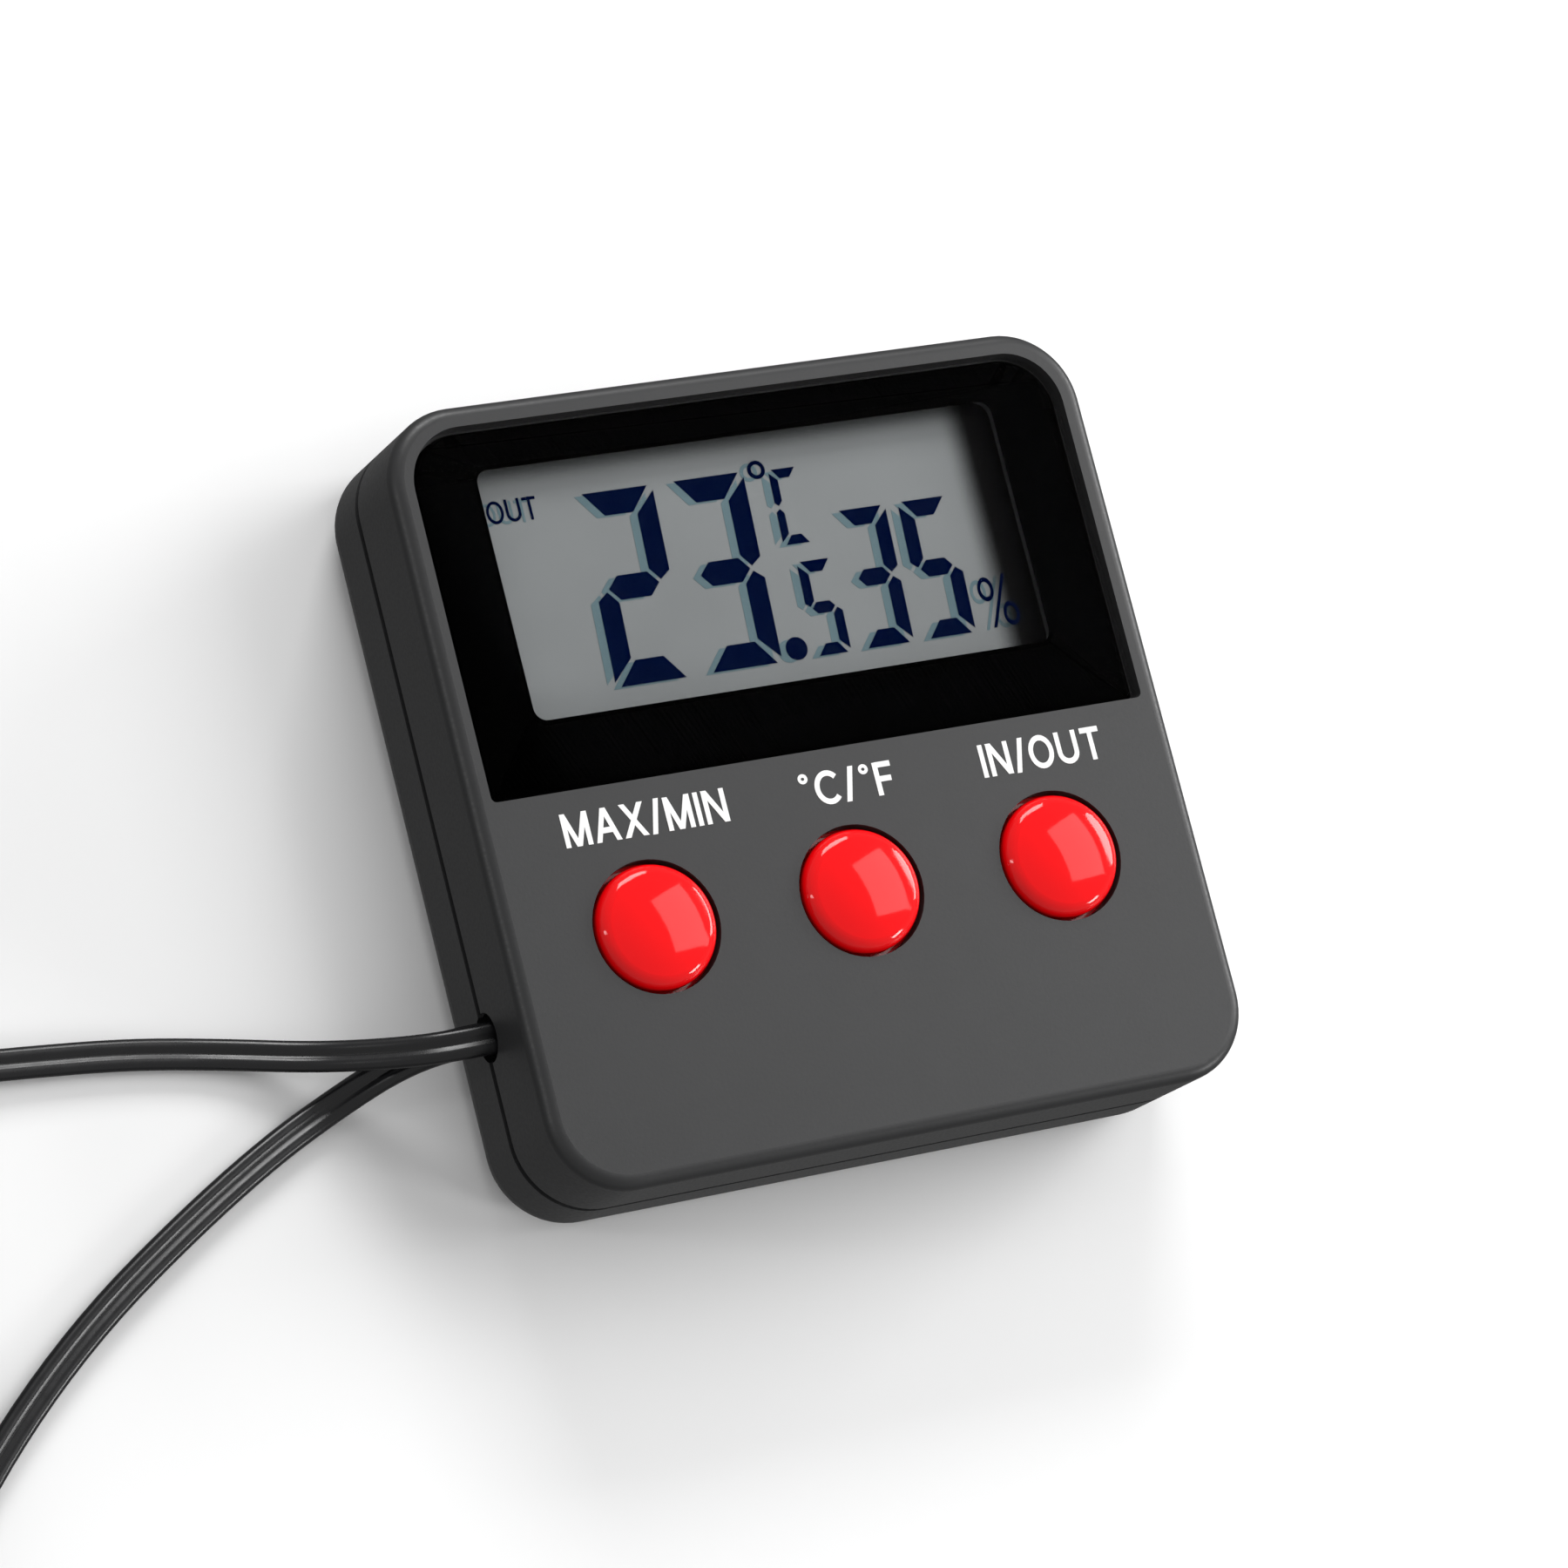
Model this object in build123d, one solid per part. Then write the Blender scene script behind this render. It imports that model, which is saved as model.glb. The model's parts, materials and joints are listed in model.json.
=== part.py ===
from build123d import *
from math import asin, cos, pi, radians, sin, tan
import os

os.makedirs("parts", exist_ok=True)

# Digital maximum-minimum thermometer and humidity meter, lying on its back.
# Millimetres.  +X to the right of the display, +Y to its top edge, +Z out of it.
# The origin is the middle of the rear face.

# ---- case --------------------------------------------------------------
case_width = 68.0
case_height = 70.0
case_depth = 17.5
corner_radius = 7.0
face_edge_radius = 1.2
rear_edge_radius = 3.0
wall = 1.8
rear_wall = 2.0
parting_height = 8.4
parting_groove_width = 0.8
parting_groove_depth = 0.45
lip_thickness = 0.8
lip_height = 1.2
static_gap = 0.1
slide_gap = 0.15
moving_gap = 0.3

# ---- display -----------------------------------------------------------
face_margin = 2.25
lens_height = 32.75
lens_thickness = 1.2
lens_sink = 0.3
lens_gap = 0.25
lens_corner_radius = 5.0
lens_square_radius = 0.4
mask_thickness = 0.2
ledge_thickness = 1.4
window_width = 51.0
window_height = 22.8
window_drop = 14.9
window_radius = 1.2
window_rim = 0.4
glass_margin = 0.9
glass_height = 27.45
glass_drop = 2.45
glass_thickness = 0.7
film_thickness = 0.2
contact_ledge = 2.4
holder_wall = 1.1
holder_shelf = 1.9
zebra_width = 2.0
zebra_length = 48.0

# ---- circuit board -----------------------------------------------------
board_thickness = 1.2
board_side_gap = 1.4
board_top_gap = 1.2
board_bay_gap = 0.65
board_under = 9.4
board_corner_radius = 1.5
board_notch = (4.6, 4.3)
board_screw_shank = 1.7
board_screw_head = 3.2
board_screw_head_height = 1.2
board_screw_length = 4.2
board_boss = 3.4
board_screw_edge = 1.2
board_screw_row = 8.0
pilot_gap = 0.05
blob_place = (4.0, 14.0)
blob_radius = 5.0
blob_height = 1.4
crystal_place = (16.0, 20.0)
crystal_radius = 1.0
crystal_length = 6.0
chip_first = (-18.0, 4.0)
chip_pitch = (3.2, 5.0)
chip_size = (1.6, 0.8, 0.6)
thermistor_place = (26.0, -8.0)
thermistor_radius = 1.2
thermistor_drop = 2.2

# ---- case screws -------------------------------------------------------
case_screw_inset_x = 4.5
case_screw_inset_top = 5.0
case_screw_inset_bottom = 5.2
case_post = 4.8
case_boss = 6.0
case_screw_shank = 2.0
case_screw_head = 4.0
case_screw_head_height = 1.6
case_screw_reach = 13.0
counterbore = 4.4
counterbore_depth = 4.0
shank_hole = 2.4

# ---- buttons -----------------------------------------------------------
button_pitch = 19.85
button_row = -13.2
button_radius = 5.57
button_hole_gap = 0.38
button_rim = 0.5
button_crown = 1.7
button_edge_inset = 1.0
button_flange_reach = 1.03
button_flange_thickness = 0.8
button_travel = 1.0
button_cavity_radius = 4.2
button_cavity_depth = 1.6
plunger_radius = 2.4
pill_radius = 1.9
pill_thickness = 0.4
pad_thickness = 1.0
pad_hole = 4.2
pad_end_rim = 0.75
pad_side_rim = 1.6

# ---- battery bay -------------------------------------------------------
battery_diameter = 10.5
battery_length = 44.5
battery_nub = 1.0
battery_nub_diameter = 3.8
bay_wall = 1.05
battery_gap = 0.3
bay_floor = 1.0
bay_rib = 1.2
contact_space = 3.55
bay_rib_height = 12.0
contact_thickness = 0.4
contact_width = 7.0
contact_slot = 0.6
contact_end_gap = 0.3
contact_below_rib = 1.0
contact_dimple_radius = 1.6
spring_wire = 0.6
spring_turns = 4
spring_radius = 3.4
spring_taper = 0.4
wire_diameter = 1.0
wire_board_edge = 1.15
wire_gap = 0.75
door_end_lap = 0.8
door_top_lap = 0.45
door_thickness = 1.6
door_tongue = 1.0
door_tongue_thickness = 0.8
door_groove_depth = 0.4
door_groove_count = 3

# ---- stand -------------------------------------------------------------
stand_width = 30.0
stand_length = 32.0
stand_thickness = 1.6
stand_pivot = 21.0
stand_pivot_height = 1.5
stand_barrel_radius = 1.3
stand_pin_radius = 0.8
stand_pin_length = 2.0
stand_pin_gap = 0.05
stand_window = 16.0
stand_finger_radius = 5.0
stand_pad_height = 4.4

# ---- keyhole -----------------------------------------------------------
keyhole_row = 27.4
keyhole_radius = 3.0
keyhole_slot = 3.2
keyhole_rise = 2.8
keyhole_plate = 1.6
keyhole_pocket = (8.0, 7.7, 3.0)
keyhole_wall = 1.2

# ---- leads -------------------------------------------------------------
lead_width = 2.8
lead_thickness = 1.4
lead_hole_radius = 2.2
lead_hole_row = -18.7
lead_hole_height = 8.95
lead_floor = 0.75
coil_mean_radius = 15.5
coil_turns = 9.2
coil_layers = 4
coil_base = 0.5
tail_straight = 2.8
tie_width = 3.0
tie_thickness = 0.4
tie_gap = 0.03

temperature_exit = (-32.2, -18.85, 9.8)
temperature_route = [
    temperature_exit,
    (-37.2, -19.0, 9.6),
    (-42.0, -18.2, 6.7),
    (-47.6, -16.6, 2.6),
    (-54.6, -14.7, lead_floor),
    (-63.0, -13.2, lead_floor),
    (-73.0, -12.3, lead_floor + 0.1),
    (-84.0, -11.6, 1.3),
    (-97.0, -11.4, 1.3),
]
temperature_coil = (-97.0, 7.45)
temperature_tail = [(-26.2, -17.4, 8.4), (-22.5, -14.0, 8.4)]
temperature_end_route = [
    (-114.9, 1.6, 5.6),
    (-117.0, 8.4, 4.4),
    (-117.8, 16.6, 1.6),
    (-115.4, 25.0, 1.2),
    (-108.6, 31.0, 2.7),
    (-100.6, 32.6, 2.7),
]
humidity_exit = (-32.2, -18.55, 8.15)
humidity_route = [
    humidity_exit,
    (-36.4, -18.4, 7.85),
    (-40.6, -18.7, 4.0),
    (-45.6, -20.6, lead_floor),
    (-52.4, -23.6, lead_floor),
    (-61.0, -28.4, lead_floor),
    (-71.0, -34.8, lead_floor),
    (-80.0, -42.4, lead_floor),
    (-87.5, -50.6, 1.0),
    (-95.0, -57.0, 1.3),
    (-104.0, -58.7, 1.3),
]
humidity_coil = (-106.0, -40.0)
humidity_tail = [(-26.8, -15.6, 5.8), (-25.6, -11.0, 6.0), (-24.6, -6.8, 8.2)]
humidity_end_route = [
    (-123.9, -45.8, 5.6),
    (-126.4, -39.2, 4.2),
    (-127.8, -32.0, 4.0),
    (-128.0, -24.8, 4.0),
]

# ---- probes ------------------------------------------------------------
probe_diameter = 5.4
probe_length = 22.0
probe_neck = 7.0
probe_neck_diameter = 3.6
bead_diameter = 2.4
bead_length = 4.0
bead_gap = 0.2
capsule_length = 32.0
capsule_width = 12.0
capsule_height = 8.0
capsule_wall = 1.1
capsule_radius = 2.4
capsule_neck = 4.0
vent_count = 5
vent_width = 0.9
vent_pitch = 2.6
sensor_size = (7.0, 12.0, 1.0)

# ---- heights and places worked out from the sizes ------------------------
half_width = case_width / 2
half_height = case_height / 2
lens_width = case_width - 2 * face_margin
lens_top = half_height - face_margin
lens_bottom = lens_top - lens_height
window_middle = lens_top - window_drop
glass_width = window_width + 2 * glass_margin
glass_top = lens_top - glass_drop
button_flange = button_radius + button_flange_reach
pad_width = 2 * (button_pitch + pad_hole + pad_end_rim)
pad_height = 2 * (pad_hole + pad_side_rim)
ledge_top = case_depth - lens_sink - lens_thickness - mask_thickness
ledge_under = ledge_top - ledge_thickness
face_under = case_depth - wall
board_over = board_under + board_thickness
polariser_top = ledge_under - static_gap
front_glass_top = polariser_top - film_thickness
rear_glass_top = front_glass_top - glass_thickness
reflector_top = rear_glass_top - glass_thickness
reflector_under = reflector_top - film_thickness
glass_bottom = glass_top - glass_height
viewing_bottom = glass_bottom + contact_ledge
flange_top = face_under - moving_gap
flange_under = flange_top - button_flange_thickness
pill_under = board_over + button_travel + static_gap
pill_top = pill_under + pill_thickness
battery_radius = battery_diameter / 2
battery_height = door_thickness + battery_gap + battery_radius
battery_row = -half_height + wall + bay_wall + battery_radius + battery_gap
bay_top_wall = battery_row + battery_radius + battery_gap
bay_bottom_wall = battery_row - battery_radius - battery_gap
bay_floor_top = rear_wall + bay_floor
bay_half_length = battery_length / 2 + contact_space
battery_left = -battery_length / 2 - static_gap
door_width = 2 * (bay_half_length - door_end_lap)
door_top = bay_top_wall + door_top_lap
board_width = case_width - 2 * wall - 2 * board_side_gap
board_top = half_height - wall - board_top_gap
board_bottom = bay_top_wall + bay_rib + board_bay_gap
board_screw_low = (button_pitch / 2, button_row)
board_screw_high = (board_width / 2 - board_screw_edge, board_screw_row)
button_places = [("max_min", -button_pitch), ("units", 0.0), ("in_out", button_pitch)]
case_screw_places = [
    (side * (half_width - case_screw_inset_x), row)
    for side in (-1, 1)
    for row in (half_height - case_screw_inset_top, -half_height + case_screw_inset_bottom)
]
board_screw_places = [
    (side * place[0], place[1]) for side in (-1, 1) for place in (board_screw_low, board_screw_high)
]
saved_nodes = []


def box(low, high):
    """A box between two opposite corners."""
    size = [high[i] - low[i] for i in range(3)]
    middle = [(high[i] + low[i]) / 2 for i in range(3)]
    return Pos(*middle) * Box(*size)


def rod(place, low, high, radius):
    """A cylinder along Z at a place in the plan, between two heights."""
    return Pos(place[0], place[1], (low + high) / 2) * Cylinder(radius, high - low)


def plate(width, height, low, high, radius, middle=(0.0, 0.0)):
    """A flat plate with rounded corners."""
    outline = RectangleRounded(width, height, radius)
    return extrude(Pos(middle[0], middle[1], low) * outline, high - low)


def save(name, shape):
    """Write one node's STEP file."""
    export_step(shape, "parts/" + name + ".step")
    saved_nodes.append(name)


def group(solids):
    """Several separate solids kept together as one node."""
    return Compound(children=list(solids))


# ---- case covers -------------------------------------------------------
def case_outside():
    """The outer form of both covers together."""
    body = plate(case_width, case_height, 0, case_depth, corner_radius)
    body = fillet(body.faces().sort_by(Axis.Z)[-1].edges(), face_edge_radius)
    return fillet(body.faces().sort_by(Axis.Z)[0].edges(), rear_edge_radius)


def case_inside(low, high):
    """The space inside the walls, between two heights."""
    return plate(case_width - 2 * wall, case_height - 2 * wall, low, high, corner_radius - wall)


def parting_groove():
    """The fine groove round the side where the covers meet."""
    low = parting_height - parting_groove_width / 2
    high = parting_height + parting_groove_width / 2
    outer = plate(case_width + 2, case_height + 2, low, high, corner_radius + 1)
    inner_width = case_width - 2 * parting_groove_depth
    inner_height = case_height - 2 * parting_groove_depth
    inner_radius = corner_radius - parting_groove_depth
    return outer - plate(inner_width, inner_height, low, high, inner_radius)


def lead_hole():
    """The round hole in the left wall that both leads leave through."""
    middle = (-half_width, lead_hole_row, lead_hole_height)
    return Pos(*middle) * Rot(0, 90, 0) * Cylinder(lead_hole_radius, 4 * wall)


def lens_outline(grow, low, high):
    """The lens's outline: round at the top corners, nearly square below."""
    left = -lens_width / 2 - grow
    bottom = lens_bottom - grow
    width = lens_width + 2 * grow
    height = lens_top - lens_bottom + 2 * grow
    middle = (left + width / 2, bottom + height / 2, (low + high) / 2)
    block = Pos(*middle) * Box(width, height, high - low)
    uprights = block.edges().filter_by(Axis.Z).sort_by(Axis.Y)
    block = fillet(uprights[2:], lens_corner_radius + grow)
    uprights = block.edges().filter_by(Axis.Z).sort_by(Axis.Y)
    return fillet(uprights[:2], lens_square_radius + grow / 2)


def display_window(grow, low, high):
    """The clear window's outline."""
    width = window_width + 2 * grow
    height = window_height + 2 * grow
    return plate(width, height, low, high, window_radius + grow, (0, window_middle))


def ceiling_over(row):
    """The underside that a post reaches up to, at a row across the case."""
    return ledge_under if row > lens_bottom else face_under


def front_cover():
    """Front cover: face, lens recess, display ledge, posts and bosses."""
    inner_bottom = lens_bottom - lens_gap - wall
    cover = case_outside() - box((-99, -99, -1), (99, 99, parting_height))
    cover -= case_inside(parting_height - 1, ledge_under)
    upper = case_inside(ledge_under - 1, face_under)
    cover -= upper - box((-99, inner_bottom, 0), (99, 99, 99))
    cover -= lens_outline(lens_gap, ledge_top, case_depth + 1)
    cover -= display_window(window_rim, ledge_under - 1, ledge_top + 1)
    cover -= parting_groove()
    for place in case_screw_places:
        cover += rod(place, parting_height, ceiling_over(place[1]) + 0.5, case_post / 2)
        cover -= rod(place, parting_height - 1, case_screw_reach + 0.6, (case_screw_shank + pilot_gap) / 2)
    for place in board_screw_places:
        reach = board_under + board_screw_length + 0.2
        cover += rod(place, board_over, ceiling_over(place[1]) + 0.5, board_boss / 2)
        cover -= rod(place, board_over - 1, reach, (board_screw_shank + pilot_gap) / 2)
    for name, across in button_places:
        cover -= rod((across, button_row), face_under - 1, case_depth + 1, button_radius + button_hole_gap)
    return cover - lead_hole()


def locating_lip():
    """The thin lip of the rear cover that centres the front cover."""
    low = parting_height - 2.0
    high = parting_height + lip_height
    outer_inset = wall + static_gap
    inner_inset = wall + lip_thickness
    root = case_inside(low, parting_height)
    tongue_width = case_width - 2 * outer_inset
    tongue_height = case_height - 2 * outer_inset
    tongue = plate(tongue_width, tongue_height, low, high, corner_radius - outer_inset)
    inside_width = case_width - 2 * inner_inset
    inside_height = case_height - 2 * inner_inset
    inside = plate(inside_width, inside_height, low, high, corner_radius - inner_inset)
    lip = root + tongue - inside
    for place in case_screw_places:
        lip -= rod(place, parting_height, high + 1, case_post / 2 + static_gap)
    return lip


def stand_recess():
    """The shallow recess that the folded stand lies in, with its pin holes."""
    half = stand_width / 2 + moving_gap
    top = stand_pivot + stand_barrel_radius + moving_gap
    bottom = stand_pivot - stand_length - moving_gap
    floor = 0.2 + stand_thickness + moving_gap
    deep = stand_pivot_height + stand_barrel_radius + moving_gap
    recess = box((-half, bottom, -1), (half, top, floor))
    recess += box((-half, stand_pivot - 2 * stand_barrel_radius, -1), (half, top, deep))
    recess += rod((0, bottom), -1, floor, stand_finger_radius)
    pin_reach = half + stand_pin_length + moving_gap
    pins = Pos(0, stand_pivot, stand_pivot_height) * Rot(0, 90, 0)
    recess += pins * Cylinder(stand_pin_radius + stand_pin_gap, 2 * pin_reach)
    return recess


def keyhole_cut():
    """The keyhole and the pocket behind it for a screw's head."""
    width, height, depth = keyhole_pocket
    top = keyhole_row + keyhole_rise
    cut = rod((0, keyhole_row), -1, keyhole_plate + 0.1, keyhole_radius)
    cut += rod((0, top), -1, keyhole_plate + 0.1, keyhole_slot / 2)
    cut += box((-keyhole_slot / 2, keyhole_row, -1), (keyhole_slot / 2, top, keyhole_plate + 0.1))
    pocket_low = (-width / 2, keyhole_row - keyhole_radius - static_gap, keyhole_plate)
    pocket_high = (width / 2, pocket_low[1] + height, keyhole_plate + depth)
    return cut + box(pocket_low, pocket_high)


def keyhole_block():
    """The block that closes the keyhole's pocket from the inside."""
    width, height, depth = keyhole_pocket
    low_y = keyhole_row - keyhole_radius - static_gap - keyhole_wall
    low = (-width / 2 - keyhole_wall, low_y, rear_wall - 0.5)
    high = (width / 2 + keyhole_wall, half_height - wall + 0.1, keyhole_plate + depth + keyhole_wall)
    return box(low, high)


def battery_bay_ribs():
    """The floor and the walls of the battery bay."""
    half = bay_half_length + bay_rib
    side_low = bay_top_wall
    bay = box((-half, -half_height + wall - 0.1, rear_wall - 0.5), (half, side_low + bay_rib, bay_floor_top))
    bay += box((-half, side_low, rear_wall), (half, side_low + bay_rib, bay_rib_height))
    bay += box((-half, -half_height + wall - 0.1, rear_wall), (half, bay_bottom_wall, parting_height))
    for side in (-1, 1):
        ends = sorted((side * bay_half_length, side * half))
        low = (ends[0], -half_height + wall - 0.1, rear_wall)
        bay += box(low, (ends[1], side_low + 0.5, parting_height))
        bay += box((ends[0], bay_bottom_wall, rear_wall), (ends[1], side_low + 0.5, bay_rib_height))
    return bay


def battery_door_cut():
    """The opening under the battery and the grooves that the door slides in."""
    half = door_width / 2 + slide_gap
    top = door_top + slide_gap
    outside = -half_height - 1
    cut = box((-half, outside, -1), (half, top, door_thickness + slide_gap))
    groove_low = door_thickness - door_tongue_thickness - slide_gap
    reach = half + door_tongue
    cut += box((-reach, outside, groove_low), (reach, top, door_thickness + slide_gap))
    inner = bay_half_length - 1.6
    return cut + box((-inner, bay_bottom_wall, 1), (inner, bay_top_wall, bay_floor_top + 1))


def contact_slots():
    """The slots in the bay's floor that hold the two battery contacts."""
    cuts = []
    for side in (-1, 1):
        xs = sorted((side * (bay_half_length - contact_slot - 0.2), side * (bay_half_length - 0.2)))
        half = contact_width / 2 + static_gap
        cuts.append(box((xs[0], battery_row - half, rear_wall + 0.2), (xs[1], battery_row + half, 99)))
    return cuts


def rear_cover():
    """Rear cover: shell, lip, bosses, battery bay, stand recess and keyhole."""
    cover = case_outside() - box((-99, -99, parting_height), (99, 99, 99))
    cover -= case_inside(rear_wall, parting_height + 1)
    cover += locating_lip()
    cover -= parting_groove()
    pad_half = stand_width / 2 + moving_gap + stand_pin_length + 1.4
    pad_low = (-pad_half, stand_pivot - stand_length - 7.0, rear_wall - 0.5)
    cover += box(pad_low, (pad_half, stand_pivot + stand_barrel_radius + 1.6, stand_pad_height))
    cover += keyhole_block()
    cover += battery_bay_ribs()
    for place in case_screw_places:
        cover += rod(place, rear_wall - 0.5, parting_height, case_boss / 2)
    for place in case_screw_places:
        cover -= rod(place, -1, counterbore_depth, counterbore / 2)
        cover -= rod(place, 0, parting_height + 1, shank_hole / 2)
    cover -= stand_recess()
    cover -= keyhole_cut()
    cover -= battery_door_cut()
    for cut in contact_slots():
        cover -= cut
    return cover - lead_hole()


# ---- display -----------------------------------------------------------
def display_lens():
    """Clear lens that fills the recess in the face."""
    low = ledge_top + mask_thickness
    return lens_outline(0, low, low + lens_thickness)


def lens_mask():
    """Black film behind the lens, open at the display window."""
    film = lens_outline(0, ledge_top, ledge_top + mask_thickness)
    return film - display_window(0, ledge_top - 1, ledge_top + 1)


def display_layer(bottom, low, thickness):
    """One flat layer of the liquid crystal cell."""
    half = glass_width / 2
    return box((-half, bottom, low), (half, glass_top, low + thickness))


def zebra_place():
    """The middle line of the contact strip, under the front glass's ledge."""
    return glass_bottom + contact_ledge / 2


def lcd_holder():
    """Frame that clips the display cell to the circuit board."""
    half = glass_width / 2 + static_gap
    outer = half + holder_wall
    low_y = glass_bottom - static_gap
    high_y = glass_top + static_gap
    frame = box((-outer, low_y - holder_wall, board_over), (outer, high_y + holder_wall, front_glass_top))
    frame -= box((-half, low_y, reflector_under), (half, high_y, front_glass_top + 1))
    shelf = half - holder_shelf
    frame -= box((-shelf, viewing_bottom + holder_shelf, 0), (shelf, high_y - holder_shelf, 99))
    strip_half = zebra_width / 2 + static_gap
    strip_low = (-zebra_length / 2 - static_gap, zebra_place() - strip_half, 0)
    frame -= box(strip_low, (zebra_length / 2 + static_gap, zebra_place() + strip_half, 99))
    for place in case_screw_places:
        frame -= rod(place, 0, 99, case_post / 2 + 2 * static_gap)
    for place in board_screw_places:
        frame -= rod(place, 0, 99, board_boss / 2 + 2 * static_gap)
    return frame


def zebra_strip():
    """Striped rubber strip that joins the board's pads to the glass."""
    half = zebra_length / 2
    low = (-half, zebra_place() - zebra_width / 2, board_over)
    return box(low, (half, zebra_place() + zebra_width / 2, rear_glass_top))


# ---- circuit board -----------------------------------------------------
def circuit_board():
    """The board, notched round the case posts."""
    half = board_width / 2
    board = box((-half, board_bottom, board_under), (half, board_top, board_over))
    board = fillet(board.edges().filter_by(Axis.Z), board_corner_radius)
    notch_low = (-half - 1, lead_hole_row - board_notch[1], 0)
    board -= box(notch_low, (-half + board_notch[0], lead_hole_row + board_notch[1], 99))
    for place in case_screw_places:
        board -= rod(place, 0, 99, case_post / 2 + moving_gap)
    for place in board_screw_places:
        board -= rod(place, 0, 99, board_screw_shank / 2 + static_gap)
    return board


def screw(place, head_under, head_height, head_radius, shank_radius, length):
    """A pan-head screw with a cross slot, driven towards +Z."""
    body = rod(place, head_under - head_height, head_under, head_radius)
    body = fillet(body.faces().sort_by(Axis.Z)[0].edges(), head_height * 0.4)
    body += rod(place, head_under, head_under + length, shank_radius)
    slot = head_radius * 0.6
    low = head_under - head_height - 0.1
    high = head_under - head_height * 0.45
    body -= box((place[0] - slot, place[1] - 0.2, low), (place[0] + slot, place[1] + 0.2, high))
    body -= box((place[0] - 0.2, place[1] - slot, low), (place[0] + 0.2, place[1] + slot, high))
    return body


def board_screws():
    """Four small screws that hold the board from behind."""
    sizes = (board_screw_head_height, board_screw_head / 2, board_screw_shank / 2, board_screw_length)
    return group(screw(place, board_under, *sizes) for place in board_screw_places)


def case_screws():
    """Four screws that hold the covers together from the rear."""
    length = case_screw_reach - counterbore_depth
    sizes = (case_screw_head_height, case_screw_head / 2, case_screw_shank / 2, length)
    return group(screw(place, counterbore_depth, *sizes) for place in case_screw_places)


def controller_blob():
    """Black resin over the bonded controller chip, under the board."""
    sphere_radius = (blob_radius ** 2 + blob_height ** 2) / (2 * blob_height)
    dome = Pos(*blob_place, board_under - blob_height + sphere_radius) * Sphere(sphere_radius)
    return dome & rod(blob_place, board_under - 2 * blob_height, board_under, 2 * blob_radius)


def timing_crystal():
    """Small can crystal lying under the board."""
    middle = Pos(*crystal_place, board_under - crystal_radius)
    return middle * Rot(0, 90, 0) * Cylinder(crystal_radius, crystal_length)


def chip_components():
    """Small resistors and capacitors under the board."""
    chips = []
    for row in range(2):
        for column in range(4):
            x = chip_first[0] + chip_pitch[0] * column
            y = chip_first[1] + chip_pitch[1] * row
            low = (x, y, board_under - chip_size[2])
            chips.append(box(low, (x + chip_size[0], y + chip_size[1], board_under)))
    return group(chips)


def indoor_thermistor():
    """Bead thermistor near the board's right edge, for the indoor reading."""
    bead = Pos(*thermistor_place, board_under - thermistor_drop) * Sphere(thermistor_radius)
    for side in (-1, 1):
        leg = (thermistor_place[0] + side * 0.8, thermistor_place[1])
        bead += rod(leg, board_under - thermistor_drop + 0.4, board_under, 0.25)
    return bead


# ---- buttons -----------------------------------------------------------
def button_cap(across):
    """Domed cap with a rounded rim and the flange that keeps it in the cover."""
    crown = case_depth + button_crown
    rise = button_crown - button_rim
    sphere_radius = (button_radius ** 2 + rise ** 2) / (2 * rise)
    sphere_middle = crown - sphere_radius
    shoulder = button_radius - button_edge_inset
    lean = asin(shoulder / sphere_radius)
    shoulder_height = sphere_middle + sphere_radius * cos(lean)
    bend_radius = button_edge_inset / (1 - sin(lean))
    bend_start = (button_radius, shoulder_height - bend_radius * cos(lean))
    dome_middle = (sphere_radius * sin(lean / 2), sphere_middle + sphere_radius * cos(lean / 2))
    bend = TangentArc(bend_start, (shoulder, shoulder_height), tangent=(0, 1))
    dome = ThreePointArc((shoulder, shoulder_height), dome_middle, (0, crown))
    foot = Polyline(
        (0, crown),
        (0, flange_under),
        (button_flange, flange_under),
        (button_flange, flange_top),
        (button_radius, flange_top),
        bend_start,
    )
    profile = make_face([bend, dome, *foot.edges()])
    cap = Pos(across, button_row, 0) * revolve(Plane.XZ * profile, Axis.Z)
    place = (across, button_row)
    cavity = rod(place, flange_under - 1, flange_under + button_cavity_depth, button_cavity_radius)
    return cap - (cavity - rod(place, 0, 99, plunger_radius))


def key_plunger(across):
    """Soft rubber plunger between the cap and its contact."""
    return rod((across, button_row), pill_top, flange_under, plunger_radius)


def carbon_pill(across):
    """Conductive pill that closes the contact on the board."""
    return rod((across, button_row), pill_under, pill_top, pill_radius)


def key_pad():
    """Rubber mat under the three buttons."""
    mat = plate(pad_width, pad_height, board_over, board_over + pad_thickness, 2.0, (0, button_row))
    mat -= box((-99, -99, 0), (99, bay_top_wall + bay_rib + moving_gap, 99))
    for name, across in button_places:
        mat -= rod((across, button_row), 0, 99, pad_hole)
    for place in board_screw_places:
        mat -= rod(place, 0, 99, board_boss / 2 + static_gap)
    return mat


# ---- battery -----------------------------------------------------------
def lengthwise_rod(left, right, radius):
    """A rod along X on the battery's axis."""
    middle = ((left + right) / 2, battery_row, battery_height)
    return Pos(*middle) * Rot(0, 90, 0) * Cylinder(radius, right - left)


def battery():
    """Round dry cell with its positive nub to the right."""
    shoulder = battery_left + battery_length - battery_nub
    can = lengthwise_rod(battery_left, shoulder, battery_radius)
    can = fillet(can.edges(), 0.5)
    return can + lengthwise_rod(shoulder - 0.5, shoulder + battery_nub, battery_nub_diameter / 2)


def contact_plate(side):
    """Flat contact in its slot at one end of the bay, with a solder tab."""
    outer = side * (bay_half_length - contact_end_gap)
    xs = sorted((outer, outer - side * contact_thickness))
    half = contact_width / 2
    low = (xs[0], battery_row - half, rear_wall + contact_end_gap)
    return box(low, (xs[1], battery_row + half, bay_rib_height - contact_below_rib))


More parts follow.
